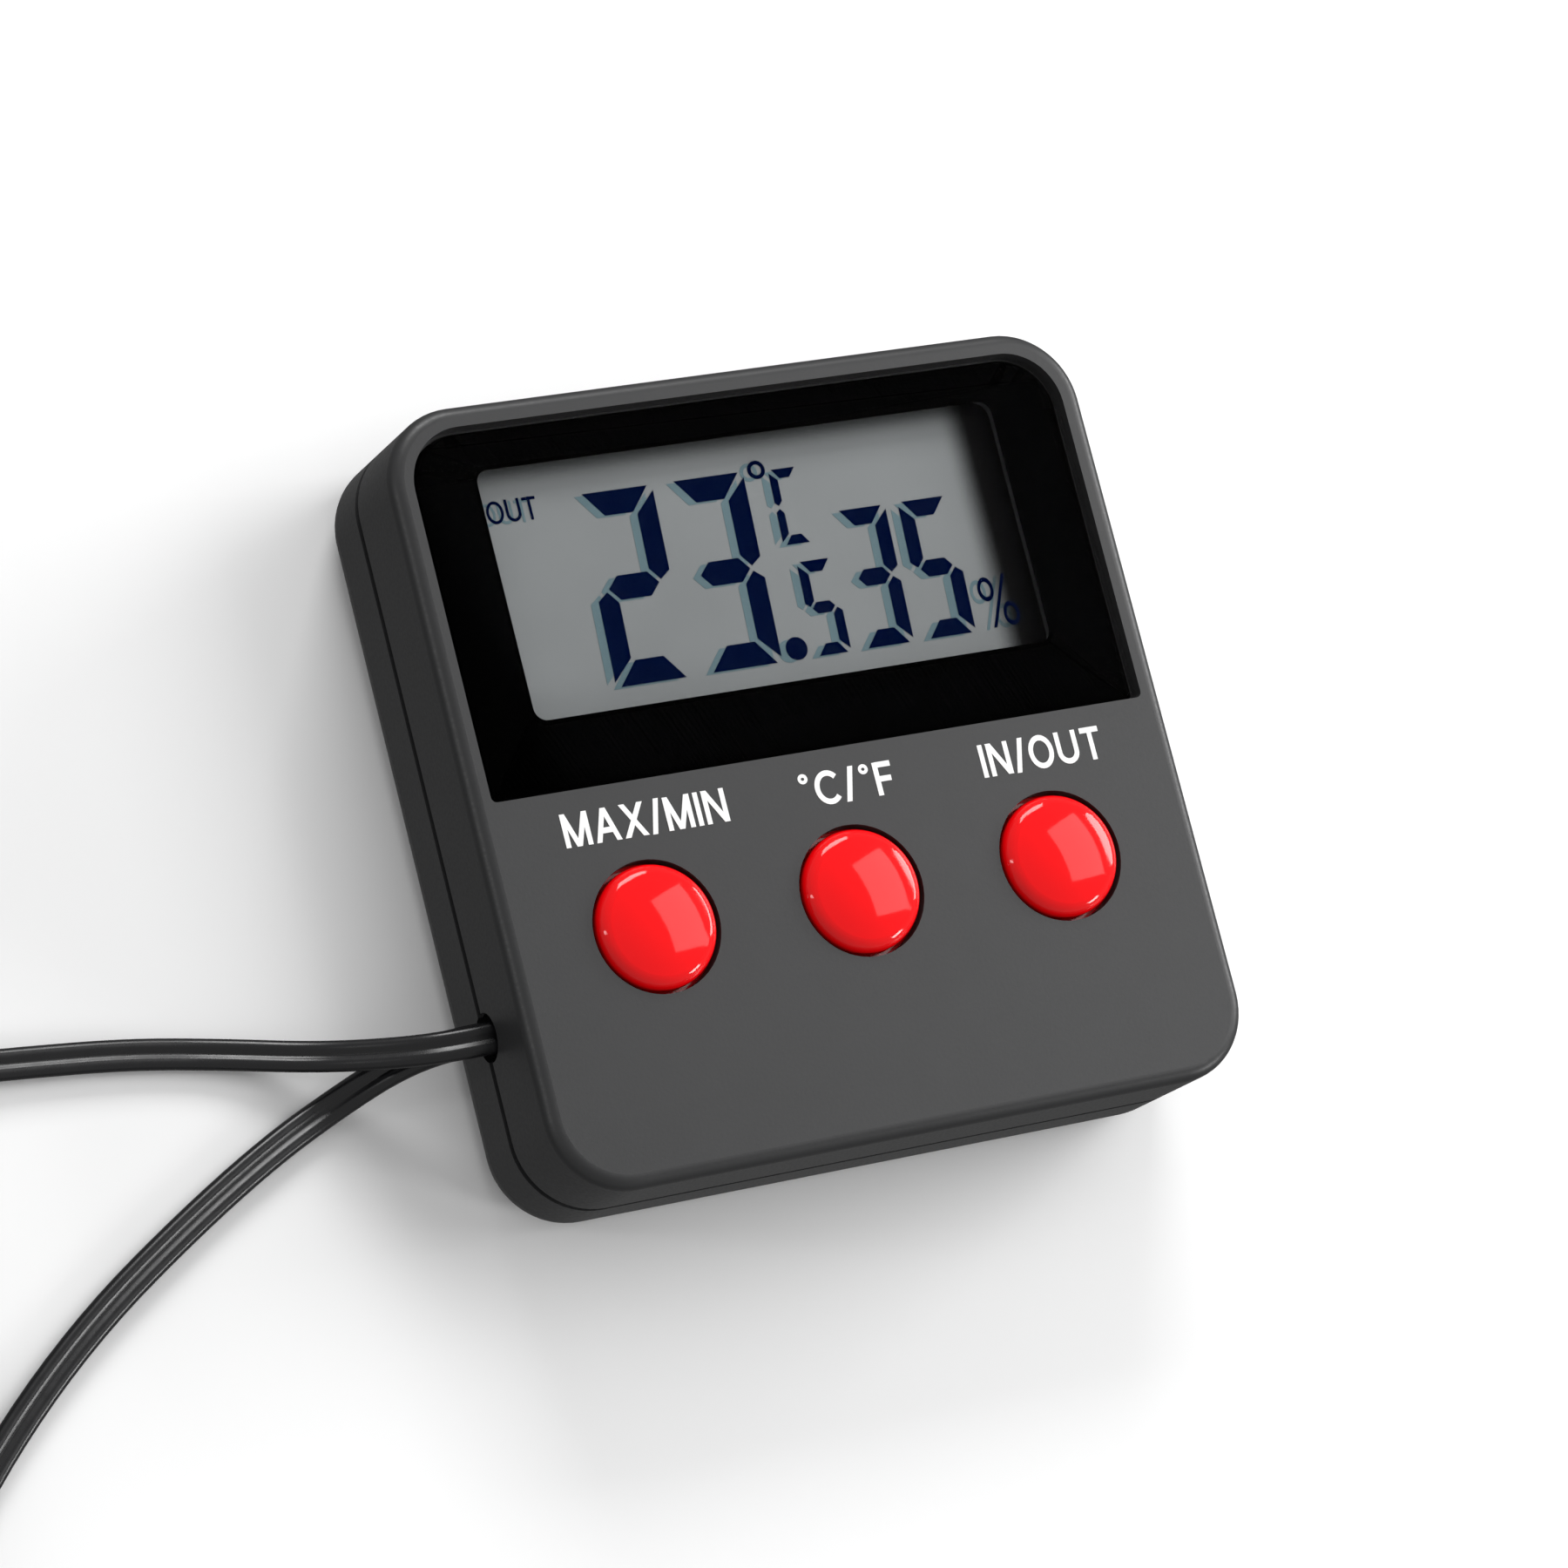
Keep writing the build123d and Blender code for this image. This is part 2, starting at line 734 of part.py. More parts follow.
def battery_plate():
    """Positive contact with a raised dimple."""
    blade = contact_plate(1)
    face = bay_half_length - contact_end_gap - contact_thickness
    nub_end = battery_left + battery_length
    return blade + lengthwise_rod(nub_end, face + 0.1, contact_dimple_radius)


def battery_spring():
    """Negative contact: a plate with a tapering coil spring on it."""
    blade = contact_plate(-1)
    face = -bay_half_length + contact_end_gap + contact_thickness
    step = (battery_left - face - spring_wire) / (spring_turns - 1)
    solids = blade
    for turn in range(spring_turns):
        along = face + spring_wire / 2 + turn * step
        ring_radius = spring_radius - spring_taper * turn
        ring = Torus(ring_radius, spring_wire / 2)
        solids += Pos(along, battery_row, battery_height) * Rot(0, 90, 0) * ring
        if turn < spring_turns - 1:
            link_row = battery_row + ring_radius - 0.2
            link = Cylinder(spring_wire / 2, step)
            solids += Pos(along + step / 2, link_row, battery_height) * Rot(0, 90, 0) * link
    return solids


def battery_door():
    """Sliding door: a slice of the rear cover's outside with two tongues."""
    half = door_width / 2
    door = case_outside() & box((-half, -half_height - 1, -1), (half, door_top, door_thickness))
    low = door_thickness - door_tongue_thickness
    for side in (-1, 1):
        xs = sorted((side * (half - 0.5), side * (half + door_tongue)))
        door += box((xs[0], -half_height + 4.0, low), (xs[1], door_top, door_thickness))
    for number in range(door_groove_count):
        y = battery_row - 2.0 + 2.0 * number
        door -= box((-7, y - 0.4, -1), (7, y + 0.4, door_groove_depth))
    return door


# ---- stand -------------------------------------------------------------
def stand():
    """Folding stand: an open frame with its hinge barrel and two pins."""
    half = stand_width / 2
    low = 0.2
    high = low + stand_thickness
    bottom = stand_pivot - stand_length
    leaf = plate(stand_width, stand_length, low, high, 1.0, (0, bottom + stand_length / 2))
    leaf -= box((-half - 1, stand_pivot, -1), (half + 1, 99, 9))
    opening_middle = (0, stand_pivot - stand_length / 2)
    leaf -= plate(stand_window, stand_length - 14.0, -1, 9, 2.0, opening_middle)
    turned = Pos(0, stand_pivot, stand_pivot_height) * Rot(0, 90, 0)
    leaf += turned * Cylinder(stand_barrel_radius, stand_width)
    leaf += turned * Cylinder(stand_pin_radius, stand_width + 2 * stand_pin_length)
    return leaf


# ---- leads -------------------------------------------------------------
def route_radii(points):
    """The largest tangent arc that each corner of a route has room for."""
    radii = []
    for before, corner, after in zip(points, points[1:], points[2:]):
        run_in = Vector(*corner) - Vector(*before)
        run_out = Vector(*after) - Vector(*corner)
        turn = radians(run_in.get_angle(run_out))
        radii.append(0.45 * min(run_in.length, run_out.length) / tan(turn / 2))
    return radii


def flat_lead(name, points):
    """Flat twin lead swept along a route, level at the route's first point."""
    radii = route_radii(points)
    path = FilletPolyline(*points, radius=radii).wire()
    direction = path % 0
    level = Vector(0, 0, 1).cross(direction).normalized()
    section_plane = Plane(origin=path @ 0, x_dir=level, z_dir=direction)
    section = section_plane * SlotOverall(lead_width, lead_thickness)
    tube = sweep(section, path=path)
    expected = section.area * path.length
    print(name, "radii", [round(radius, 1) for radius in radii])
    print(name, "length", round(path.length, 1), "volume ratio", round(tube.volume / expected, 4))
    return tube


def lead_coil(middle):
    """The outer form of a neat coil of flat lead; its two ends run into it."""
    spread = coil_turns / coil_layers * (lead_width + static_gap) / 2
    outer = coil_mean_radius + spread + lead_width / 2
    inner = coil_mean_radius - spread - lead_width / 2
    top = coil_base + coil_layers * (lead_thickness + 0.05)
    return rod(middle, coil_base, top, outer) - rod(middle, 0, 99, inner)


def coil_tie(middle, angle):
    """Flat band round the coil's bundle at one angle."""
    spread = coil_turns / coil_layers * (lead_width + static_gap) / 2
    outer = coil_mean_radius + spread + lead_width / 2 + tie_gap
    inner = coil_mean_radius - spread - lead_width / 2 - tie_gap
    low = coil_base - tie_gap
    high = coil_base + coil_layers * (lead_thickness + 0.05) + tie_gap
    half = tie_width / 2
    inner_chord = (inner ** 2 - half ** 2) ** 0.5
    outside_low = (inner_chord - tie_thickness, -half, low - tie_thickness)
    band = box(outside_low, (outer + tie_thickness, half, high + tie_thickness))
    band -= box((inner_chord, -half - 1, low), (outer, half + 1, high))
    return Pos(middle[0], middle[1], 0) * Rot(0, 0, angle) * band


def lead_tail(name, route, bends):
    """The lead's short stretch inside the case, in line with the lead at the wall."""
    start = Vector(*route[0])
    inward = (start - Vector(*route[1])).normalized()
    second = start + inward * tail_straight
    return flat_lead(name, [tuple(start), tuple(second), *bends])


def round_wire(name, points):
    """Thin round wire between a battery contact and the board."""
    radii = route_radii(points)
    path = FilletPolyline(*points, radius=radii).wire()
    section = Plane(origin=path @ 0, z_dir=path % 0) * Circle(wire_diameter / 2)
    print(name, "radii", [round(radius, 1) for radius in radii], "length", round(path.length, 1))
    return sweep(section, path=path)


def wire_route(side):
    """Over the bay's wall, outside the buttons' flanges, to the board's upper face."""
    x = side * (bay_half_length - contact_end_gap - contact_thickness / 2)
    landing = side * (button_pitch + button_flange + wire_diameter / 2 + wire_gap)
    blade_top = bay_rib_height - contact_below_rib
    wall_middle = bay_top_wall + bay_rib / 2
    landing_row = lead_hole_row + board_notch[1] + wire_board_edge
    return [
        (x, wall_middle - 3.4, blade_top),
        (x, wall_middle - 3.4, blade_top + 2.0),
        ((x + landing) / 2, wall_middle + 0.2, blade_top + 3.0),
        (landing, landing_row, blade_top + 1.8),
        (landing, landing_row, board_over),
    ]


# ---- probes ------------------------------------------------------------
def temperature_probe(plane):
    """Moulded sleeve with a tapered neck and a round tip."""
    radius = probe_diameter / 2
    neck = probe_neck_diameter / 2
    profile = Polyline((0, 0), (neck, 0), (radius, probe_neck), (radius, probe_neck + probe_length - radius))
    tip_start = (radius, probe_neck + probe_length - radius)
    tip_end = (0, probe_neck + probe_length)
    tip_middle = (radius * cos(pi / 4), probe_neck + probe_length - radius + radius * sin(pi / 4))
    tip = ThreePointArc(tip_start, tip_middle, tip_end)
    face = make_face([*profile.edges(), tip, Line(tip_end, (0, 0))])
    sleeve = revolve(Plane.XZ * face, Axis.Z)
    bead_middle = probe_neck + probe_length - radius - bead_length / 2
    cavity = Cylinder(bead_diameter / 2 + bead_gap, bead_length + 2 * bead_gap)
    return plane * (sleeve - Pos(0, 0, bead_middle) * cavity)


def probe_bead(plane):
    """The thermistor bead inside the probe's tip."""
    radius = probe_diameter / 2
    low = probe_neck + probe_length - radius - bead_length
    bead = Pos(0, 0, low + bead_length / 2) * Cylinder(bead_diameter / 2, bead_length)
    return plane * fillet(bead.edges(), 0.6)


def capsule_block(shrink):
    """The humidity capsule's rounded block, made smaller by a wall."""
    size = (capsule_width - 2 * shrink, capsule_height - 2 * shrink, capsule_length - 2 * shrink)
    block = Pos(0, 0, capsule_neck + capsule_length / 2) * Box(*size)
    return fillet(block.edges().filter_by(Axis.Z), max(capsule_radius - shrink, 0.5))


def humidity_probe_shell(plane):
    """Lower half of the humidity capsule, with its neck."""
    shell = capsule_block(0) - capsule_block(capsule_wall)
    shell &= box((-99, -99, 0), (99, 0, 99))
    neck = Pos(0, 0, capsule_neck / 2 + 0.3) * Cylinder(2.2, capsule_neck + 0.6)
    return plane * (shell + (neck & box((-99, -99, 0), (99, 99, capsule_neck))))


def humidity_probe_cap(plane):
    """Upper half of the humidity capsule, slotted to let air in."""
    cap = capsule_block(0) - capsule_block(capsule_wall)
    cap &= box((-99, 0, 0), (99, 99, 99))
    first = capsule_neck + capsule_length - 5.0
    for number in range(vent_count):
        z = first - vent_pitch * number
        cap -= box((-3.6, 0.8, z - vent_width / 2), (3.6, 99, z + vent_width / 2))
    return plane * cap


def humidity_sensor(plane):
    """The humidity element on its little board inside the capsule."""
    width, length, thickness = sensor_size
    low = capsule_neck + capsule_length - capsule_wall - length - 1.5
    floor = -capsule_height / 2 + capsule_wall
    board = box((-width / 2, floor, low), (width / 2, floor + thickness, low + length))
    element = box((-2.5, floor + thickness - 0.1, low + 3), (2.5, -1.2, low + 9))
    return plane * (board + element)


def probe_plane(route, upright):
    """Where a probe starts: at the route's last point, along its last run, level."""
    last = Vector(*route[-1])
    run = last - Vector(*route[-2])
    level_run = Vector(run.X, run.Y, 0).normalized()
    side = Vector(0, 0, 1).cross(level_run)
    place = Vector(last.X, last.Y, upright)
    return Plane(origin=place, x_dir=side, z_dir=level_run)


# ---- build -------------------------------------------------------------
def build_case():
    """Covers, screws, door and stand."""
    save("front_cover", front_cover())
    save("rear_cover", rear_cover())
    save("case_screws", case_screws())
    save("battery_door", battery_door())
    save("stand", stand())


def build_display():
    """Lens, mask, display cell, holder and contact strip."""
    save("display_lens", display_lens())
    save("lens_mask", lens_mask())
    save("lcd_front_polariser", display_layer(viewing_bottom, front_glass_top, film_thickness))
    save("lcd_front_glass", display_layer(glass_bottom, rear_glass_top, glass_thickness))
    save("lcd_rear_glass", display_layer(viewing_bottom, reflector_top, glass_thickness))
    save("lcd_reflector", display_layer(viewing_bottom, reflector_under, film_thickness))
    save("lcd_holder", lcd_holder())
    save("zebra_strip", zebra_strip())


def build_electronics():
    """Circuit board and what is on it."""
    save("circuit_board", circuit_board())
    save("board_screws", board_screws())
    save("controller_blob", controller_blob())
    save("timing_crystal", timing_crystal())
    save("chip_components", chip_components())
    save("indoor_thermistor", indoor_thermistor())
    save("key_pad", key_pad())


def build_buttons():
    """Each button's cap, plunger and contact pill."""
    for name, across in button_places:
        save("button_" + name, button_cap(across))
        save("plunger_" + name, key_plunger(across))
        save("pill_" + name, carbon_pill(across))


def build_battery():
    """Cell and contacts."""
    save("battery", battery())
    save("battery_plate", battery_plate())
    save("battery_spring", battery_spring())
    save("battery_wire_red", round_wire("red wire", wire_route(1)))
    save("battery_wire_black", round_wire("black wire", wire_route(-1)))


def build_leads():
    """Both leads with their coils, ties and probes."""
    save("temperature_lead_tail", lead_tail("temperature tail", temperature_route, temperature_tail))
    save("temperature_lead", flat_lead("temperature lead", temperature_route[::-1]))
    save("temperature_lead_coil", lead_coil(temperature_coil))
    save("temperature_lead_tie", coil_tie(temperature_coil, 60))
    save("temperature_lead_end", flat_lead("temperature end", temperature_end_route))
    probe = probe_plane(temperature_end_route, probe_diameter / 2)
    save("temperature_probe", temperature_probe(probe))
    save("temperature_bead", probe_bead(probe))
    save("humidity_lead_tail", lead_tail("humidity tail", humidity_route, humidity_tail))
    save("humidity_lead", flat_lead("humidity lead", humidity_route[::-1]))
    save("humidity_lead_coil", lead_coil(humidity_coil))
    save("humidity_lead_tie", coil_tie(humidity_coil, 60))
    save("humidity_lead_end", flat_lead("humidity end", humidity_end_route))
    capsule = probe_plane(humidity_end_route, capsule_height / 2)
    save("humidity_probe_shell", humidity_probe_shell(capsule))
    save("humidity_probe_cap", humidity_probe_cap(capsule))
    save("humidity_sensor", humidity_sensor(capsule))


build_case()
build_display()
build_electronics()
build_buttons()
build_battery()
build_leads()
print(len(saved_nodes), "nodes")
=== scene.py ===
import json
import math

import bmesh
import bpy
from mathutils import Matrix, Vector

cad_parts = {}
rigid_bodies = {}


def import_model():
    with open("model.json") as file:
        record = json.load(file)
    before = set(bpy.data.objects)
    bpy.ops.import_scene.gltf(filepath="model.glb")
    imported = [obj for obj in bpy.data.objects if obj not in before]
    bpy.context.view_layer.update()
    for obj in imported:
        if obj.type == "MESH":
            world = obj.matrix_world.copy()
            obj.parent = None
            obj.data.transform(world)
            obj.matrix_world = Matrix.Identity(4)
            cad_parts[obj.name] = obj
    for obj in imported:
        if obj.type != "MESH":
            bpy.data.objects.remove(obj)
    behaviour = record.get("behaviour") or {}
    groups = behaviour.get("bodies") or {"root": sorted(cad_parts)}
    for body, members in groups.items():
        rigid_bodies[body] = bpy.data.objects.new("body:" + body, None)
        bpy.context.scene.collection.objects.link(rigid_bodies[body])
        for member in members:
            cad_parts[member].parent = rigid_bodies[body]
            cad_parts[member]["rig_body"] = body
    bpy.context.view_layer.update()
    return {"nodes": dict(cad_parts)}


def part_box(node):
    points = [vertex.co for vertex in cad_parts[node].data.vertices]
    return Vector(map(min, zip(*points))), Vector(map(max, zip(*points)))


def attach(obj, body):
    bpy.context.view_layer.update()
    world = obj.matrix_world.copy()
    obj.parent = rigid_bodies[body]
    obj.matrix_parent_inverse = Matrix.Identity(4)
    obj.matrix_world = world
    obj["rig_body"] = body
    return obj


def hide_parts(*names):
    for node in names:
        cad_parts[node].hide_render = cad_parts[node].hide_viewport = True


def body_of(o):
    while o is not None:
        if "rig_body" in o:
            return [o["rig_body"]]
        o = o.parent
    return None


bl_info = {
    "name": "Greenhouse thermometer",
    "version": (1, 0, 0),
    "blender": (4, 5, 0),
    "location": "View3D > Sidebar > Thermometer",
    "description": "Finishes a maximum minimum thermometer with display, legends and leads",
    "category": "Object",
}

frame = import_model()
NODES = frame["nodes"]
MM = 0.001

# The leads' routes and coils, in millimetres.
TEMPERATURE_ROUTE = [
    (-32.2, -18.85, 9.8),
    (-37.2, -19.0, 9.6),
    (-42.0, -18.2, 6.7),
    (-47.6, -16.6, 2.6),
    (-54.6, -14.7, 0.75),
    (-63.0, -13.2, 0.75),
    (-73.0, -12.3, 0.85),
    (-84.0, -11.6, 1.3),
]
TEMPERATURE_COIL = (-97.0, 7.45)
TEMPERATURE_END = [
    (-117.0, 8.4, 4.4),
    (-117.8, 16.6, 1.6),
    (-115.4, 25.0, 1.2),
    (-108.6, 31.0, 2.7),
    (-100.6, 32.6, 2.7),
]
HUMIDITY_ROUTE = [
    (-32.2, -18.55, 8.15),
    (-36.4, -18.4, 7.85),
    (-40.6, -18.7, 4.0),
    (-45.6, -20.6, 0.75),
    (-52.4, -23.6, 0.75),
    (-61.0, -28.4, 0.75),
    (-71.0, -34.8, 0.75),
    (-80.0, -42.4, 0.75),
    (-87.5, -50.6, 1.0),
    (-95.0, -57.0, 1.3),
]
HUMIDITY_COIL = (-106.0, -40.0)
HUMIDITY_END = [
    (-126.4, -39.2, 4.2),
    (-127.8, -32.0, 4.0),
    (-128.0, -24.8, 4.0),
]
COIL_LAYERS = 4
COIL_STEPS = 18  # straight steps in one turn
COIL_BASE = 1.3 * MM
TURN_ROOM = 0.1 * MM
LAYER_ROOM = 0.03 * MM
CLIMB_SHARE = 0.1  # the share of a layer over which the lead climbs to the next
CORE_ANGLES = range(-150, 151, 30)  # degrees round a core, from the web back to the web
LEAD_SMOOTH_ANGLE = math.radians(50)

# View and light.
VIEW_LENS = 139.87
VIEW_PLACE = (-0.2345, -0.0948, 0.4857)
VIEW_RIGHT = (0.8888, -0.2438, 0.3882)
VIEW_AHEAD = (0.4338, 0.1738, -0.8841)
FLOOR_SIZE = 6.0
FLOOR_DROP = 0.0002  # keeps the floor clear of the rear face
LIGHT_AIM = (0, 0, 0.01)
# Each light's name, direction from the aim, distance, width and height, and power.
SOFTBOXES = (
    ("softbox_right", (0.62, 0.15, 0.77), 0.75, (0.54, 0.42), 1.75),
    ("softbox_front", (0.73, -0.57, 0.36), 0.75, (0.16, 0.16), 1.3),
    ("softbox_low", (0.92, 0.20, 0.34), 0.90, (0.50, 0.26), 4.2),
    ("softbox_back", (0.10, 0.86, 0.50), 0.90, (0.50, 0.30), 5.0),
    ("softbox_left", (-0.86, 0.17, 0.41), 0.85, (0.06, 0.30), 0.5),
)
WORLD_ABOVE = 0.46
WORLD_BELOW = 0.2
HORIZON_BLEND = 0.05

# Finishes.
NOISE_LOW, NOISE_HIGH = 0.3, 0.7  # most of the noise lies between these
CLOUD_SHARE = 0.08  # repeats of the broad colour noise for each repeat of the grain
ROUGH_SPREAD = 0.12
DISPLAY_SPREAD = 0.05  # how far the display's colour goes up and down with its noise

# Copies of CAD nodes.
MERGE_DISTANCE = 1e-6
LEVEL_ANGLE = math.radians(1)
EASED_ANGLE = math.radians(40)
SMOOTH_ANGLE = math.radians(14)

# Each letter's width and strokes, for a height of 1. Four numbers are the two ends of
# a straight stroke. Six are an oval's middle, its two radii, and the first and last
# angle of the stroke along it.
GLYPHS = {
    "M": (0.76, [(0, 0, 0, 1), (0, 1, 0.38, 0), (0.38, 0, 0.76, 1), (0.76, 1, 0.76, 0)]),
    "A": (0.70, [(0, 0, 0.35, 1), (0.35, 1, 0.70, 0), (0.14, 0.34, 0.56, 0.34)]),
    "X": (0.64, [(0, 0, 0.64, 1), (0, 1, 0.64, 0)]),
    "/": (0.28, [(0, -0.02, 0.28, 1.02)]),
    "I": (0.0, [(0, 0, 0, 1)]),
    "N": (0.62, [(0, 0, 0, 1), (0, 1, 0.62, 0), (0.62, 0, 0.62, 1)]),
    "F": (0.48, [(0, 0, 0, 1), (0, 0.92, 0.52, 0.92), (0, 0.49, 0.46, 0.49)]),
    "T": (0.60, [(0.30, 0, 0.30, 1), (-0.04, 0.92, 0.64, 0.92)]),
    "U": (0.62, [(0, 1, 0, 0.37), (0.62, 0.37, 0.62, 1), (0.31, 0.37, 0.31, 0.29, 180, 360)]),
    "C": (0.66, [(0.38, 0.5, 0.38, 0.43, 42, 318)]),
    "O": (0.74, [(0.37, 0.5, 0.37, 0.43, 0, 180), (0.37, 0.5, 0.37, 0.43, 180, 360)]),
    "°": (0.22, [(0.11, 0.86, 0.11, 0.10, 0, 180), (0.11, 0.86, 0.11, 0.10, 180, 360)]),
}
LETTER_ROOM = 0.13
DEGREE_THINNING = 0.62
LEVEL_RISE = 0.01  # a stroke that rises less than this lies flat
ARC_STEP = 12  # degrees
ARC_STEPS_LEAST = 8
STROKE_STEP = 0.001 * MM  # each stroke is thicker by this, so no two tops share a plane
# Each legend's piece, letters, and left and right edge in millimetres.
LEGENDS = (
    ("legend_max_min", "MAX/MIN", -26.3, -10.6),
    ("legend_units", "°C/°F", -3.4, 5.7),
    ("legend_in_out", "IN/OUT", 14.5, 26.7),
)
LEGEND_SINK = 0.02 * MM
LEGEND_THICKNESS = 0.05 * MM

# The display's contents, in millimetres from the middle of the case. The seven segments
# run from a at the top, round by the right, to f, and g is the middle one.
SEGMENTS = {"2": "abged", "3": "abgcd", "5": "afgcd", "C": "afed"}
UPRIGHT_SHARE = 0.88  # an upright segment's thickness for one of a level segment's
CORNER_CUT = 2.0  # a level segment starts this many gaps in
CORNER_BACK = 1.4
# Each large figure's left edge and foot.
LARGE_FIGURES = (("2", -17.3, 8.4), ("3", -8.35, 8.4))
LARGE_WIDTH = 7.3
LARGE_STROKE = 2.2
# Each small figure's left edge, foot, width, height and stroke.
SMALL_FIGURES = (
    ("3", 7.1, 8.4, 5.0, 12.8, 1.55),
    ("5", 13.4, 8.4, 5.0, 12.8, 1.55),
    ("5", 2.3, 8.4, 3.5, 8.7, 1.05),
    ("C", 1.9, 18.8, 2.9, 7.0, 0.85),
)
POINT_MIDDLE = (0.6, 9.4)
POINT_RADIUS = 1.05
POINT_SIDES = 32
# The degree sign and the two rings of the percent sign: middle, then radii across and up.
RINGS = (((1.1, 26.0), (0.85, 0.85)), ((20.4, 12.1), (0.78, 1.12)), ((22.4, 9.6), (0.78, 1.12)))
RING_BORE = 0.5
RING_SIDES = 40
SLASH_FOOT = (20.3, 8.5)
SLASH_HEAD = (22.3, 13.3)
SLASH_WIDTH = 0.32
SENSOR_WORD = "OUT"
SENSOR_WORD_PLACE = (-25.3, 24.4)
SENSOR_WORD_SIZE = (4.8, 2.1)
SENSOR_WORD_STROKE = 0.27
# Shade painted on the panel under the window's edge: axis, start, end and the light left.
PANEL_SHADE = (("X", 20.6, 23.6, 0.0), ("Y", 27.4, 30.2, 0.25))
PANEL_DARKEST = (0.0004, 0.0004, 0.0004, 1)
LENS_EDGE = 0.16 * MM
FIGURE_SINK = 0.01 * MM
FIGURE_THICKNESS = 0.06 * MM
SHADOW_THICKNESS = 0.03 * MM
FIGURE_SHIFT = (0.69 * MM, 0.29 * MM)  # lines the figures up with the window in the main view
SHADOW_OFFSET = (-0.8 * MM, -0.15 * MM)  # from a figure to its shadow


class CaseSettings(bpy.types.PropertyGroup):
    """Finish of the case, its buttons and its printed legends."""

    case_colour: bpy.props.FloatVectorProperty(
        name="Case colour",
        description="Colour of the moulded covers",
        subtype="COLOR",
        size=3,
        min=0.0,
        max=1.0,
        default=(0.028, 0.0283, 0.0292),
    )
    button_colour: bpy.props.FloatVectorProperty(
        name="Button colour",
        description="Colour of the three push buttons",
        subtype="COLOR",
        size=3,
        min=0.0,
        max=1.0,
        default=(0.92, 0.0015, 0.004),
    )
    legend_colour: bpy.props.FloatVectorProperty(
        name="Legend colour",
        description="Colour of the printed words above the buttons",
        subtype="COLOR",
        size=3,
        min=0.0,
        max=1.0,
        default=(0.86, 0.86, 0.85),
    )
    legend_height: bpy.props.FloatProperty(
        name="Legend height",
        description="Height of the printed capitals",
        subtype="DISTANCE",
        unit="LENGTH",
        default=3.0 * MM,
    )
    legend_stroke: bpy.props.FloatProperty(
        name="Legend stroke",
        description="Thickness of the printed strokes",
        subtype="DISTANCE",
        unit="LENGTH",
        default=0.5 * MM,
    )
    legend_base: bpy.props.FloatProperty(
        name="Legend base",
        description="Where the printed words stand, measured up from the middle of the case",
        subtype="DISTANCE",
        unit="LENGTH",
        default=-5.2 * MM,
    )
    grain: bpy.props.FloatProperty(
        name="Grain",
        description="Depth of the moulded texture",
        subtype="FACTOR",
        min=0.0,
        max=1.0,
        default=0.10,
    )


class DisplaySettings(bpy.types.PropertyGroup):
    """Sizes and colours of what the display shows."""

    panel_colour: bpy.props.FloatVectorProperty(
        name="Panel colour",
        description="Colour of the liquid crystal's ground",
        subtype="COLOR",
        size=3,
        min=0.0,
        max=1.0,
        default=(0.23, 0.242, 0.245),
    )
    segment_colour: bpy.props.FloatVectorProperty(
        name="Segment colour",
        description="Colour of a segment that is on",
        subtype="COLOR",
        size=3,
        min=0.0,
        max=1.0,
        default=(0.0, 0.002, 0.022),
    )
    shadow_colour: bpy.props.FloatVectorProperty(
        name="Shadow colour",
        description="Colour of a segment's shadow on the reflector",
        subtype="COLOR",
        size=3,
        min=0.0,
        max=1.0,
        default=(0.115, 0.175, 0.195),
    )
    digit_height: bpy.props.FloatProperty(
        name="Digit height",
        description="Height of the large digits",
        subtype="DISTANCE",
        unit="LENGTH",
        default=17.6 * MM,
    )
    digit_slant: bpy.props.FloatProperty(
        name="Digit slant",
        description="Lean of the digits to the right",
        subtype="ANGLE",
        unit="ROTATION",
        default=math.radians(2.6),
    )
    segment_gap: bpy.props.FloatProperty(
        name="Segment gap",
        description="Clear line between two segments",
        subtype="DISTANCE",
        unit="LENGTH",
        default=0.25 * MM,
    )


class LeadSettings(bpy.types.PropertyGroup):
    """Sizes and colour of the two flat leads."""

    width: bpy.props.FloatProperty(
        name="Lead width",
        description="Width across both cores",
        subtype="DISTANCE",
        unit="LENGTH",
        default=2.8 * MM,
    )
    thickness: bpy.props.FloatProperty(
        name="Lead thickness",
        description="Thickness of one core's sleeve",
        subtype="DISTANCE",
        unit="LENGTH",
        default=1.4 * MM,
    )
    coil_radius: bpy.props.FloatProperty(
        name="Coil radius",
        description="Radius at the middle of a coil's turns",
        subtype="DISTANCE",
        unit="LENGTH",
        default=15.5 * MM,
    )
    coil_turns: bpy.props.FloatProperty(
        name="Coil turns",
        description="Turns of each put-away coil",
        min=4.0,
        max=20.0,
        default=9.2,
    )
    length: bpy.props.FloatProperty(
        name="Lead length",
        description="Whole length of each lead",
        subtype="DISTANCE",
        unit="LENGTH",
        default=1.0,
    )
    colour: bpy.props.FloatVectorProperty(
        name="Lead colour",
        description="Colour of the leads' sleeve",
        subtype="COLOR",
        size=3,
        min=0.0,
        max=1.0,
        default=(0.006, 0.006, 0.007),
    )


# ---- materials ---------------------------------------------------------
def new_material(name):
    """An empty material and its shader."""
    material = bpy.data.materials.new(name)
    material.use_nodes = True
    shader = material.node_tree.nodes["Principled BSDF"]
    return material, shader


def add_noise(material, scale, detail):
    """Noise that stays with the piece, at a scale in repeats per metre."""
    tree = material.node_tree
    place = tree.nodes.new("ShaderNodeTexCoord")
    noise = tree.nodes.new("ShaderNodeTexNoise")
    noise.inputs["Scale"].default_value = scale
    noise.inputs["Detail"].default_value = detail
    tree.links.new(place.outputs["Object"], noise.inputs["Vector"])
    return noise


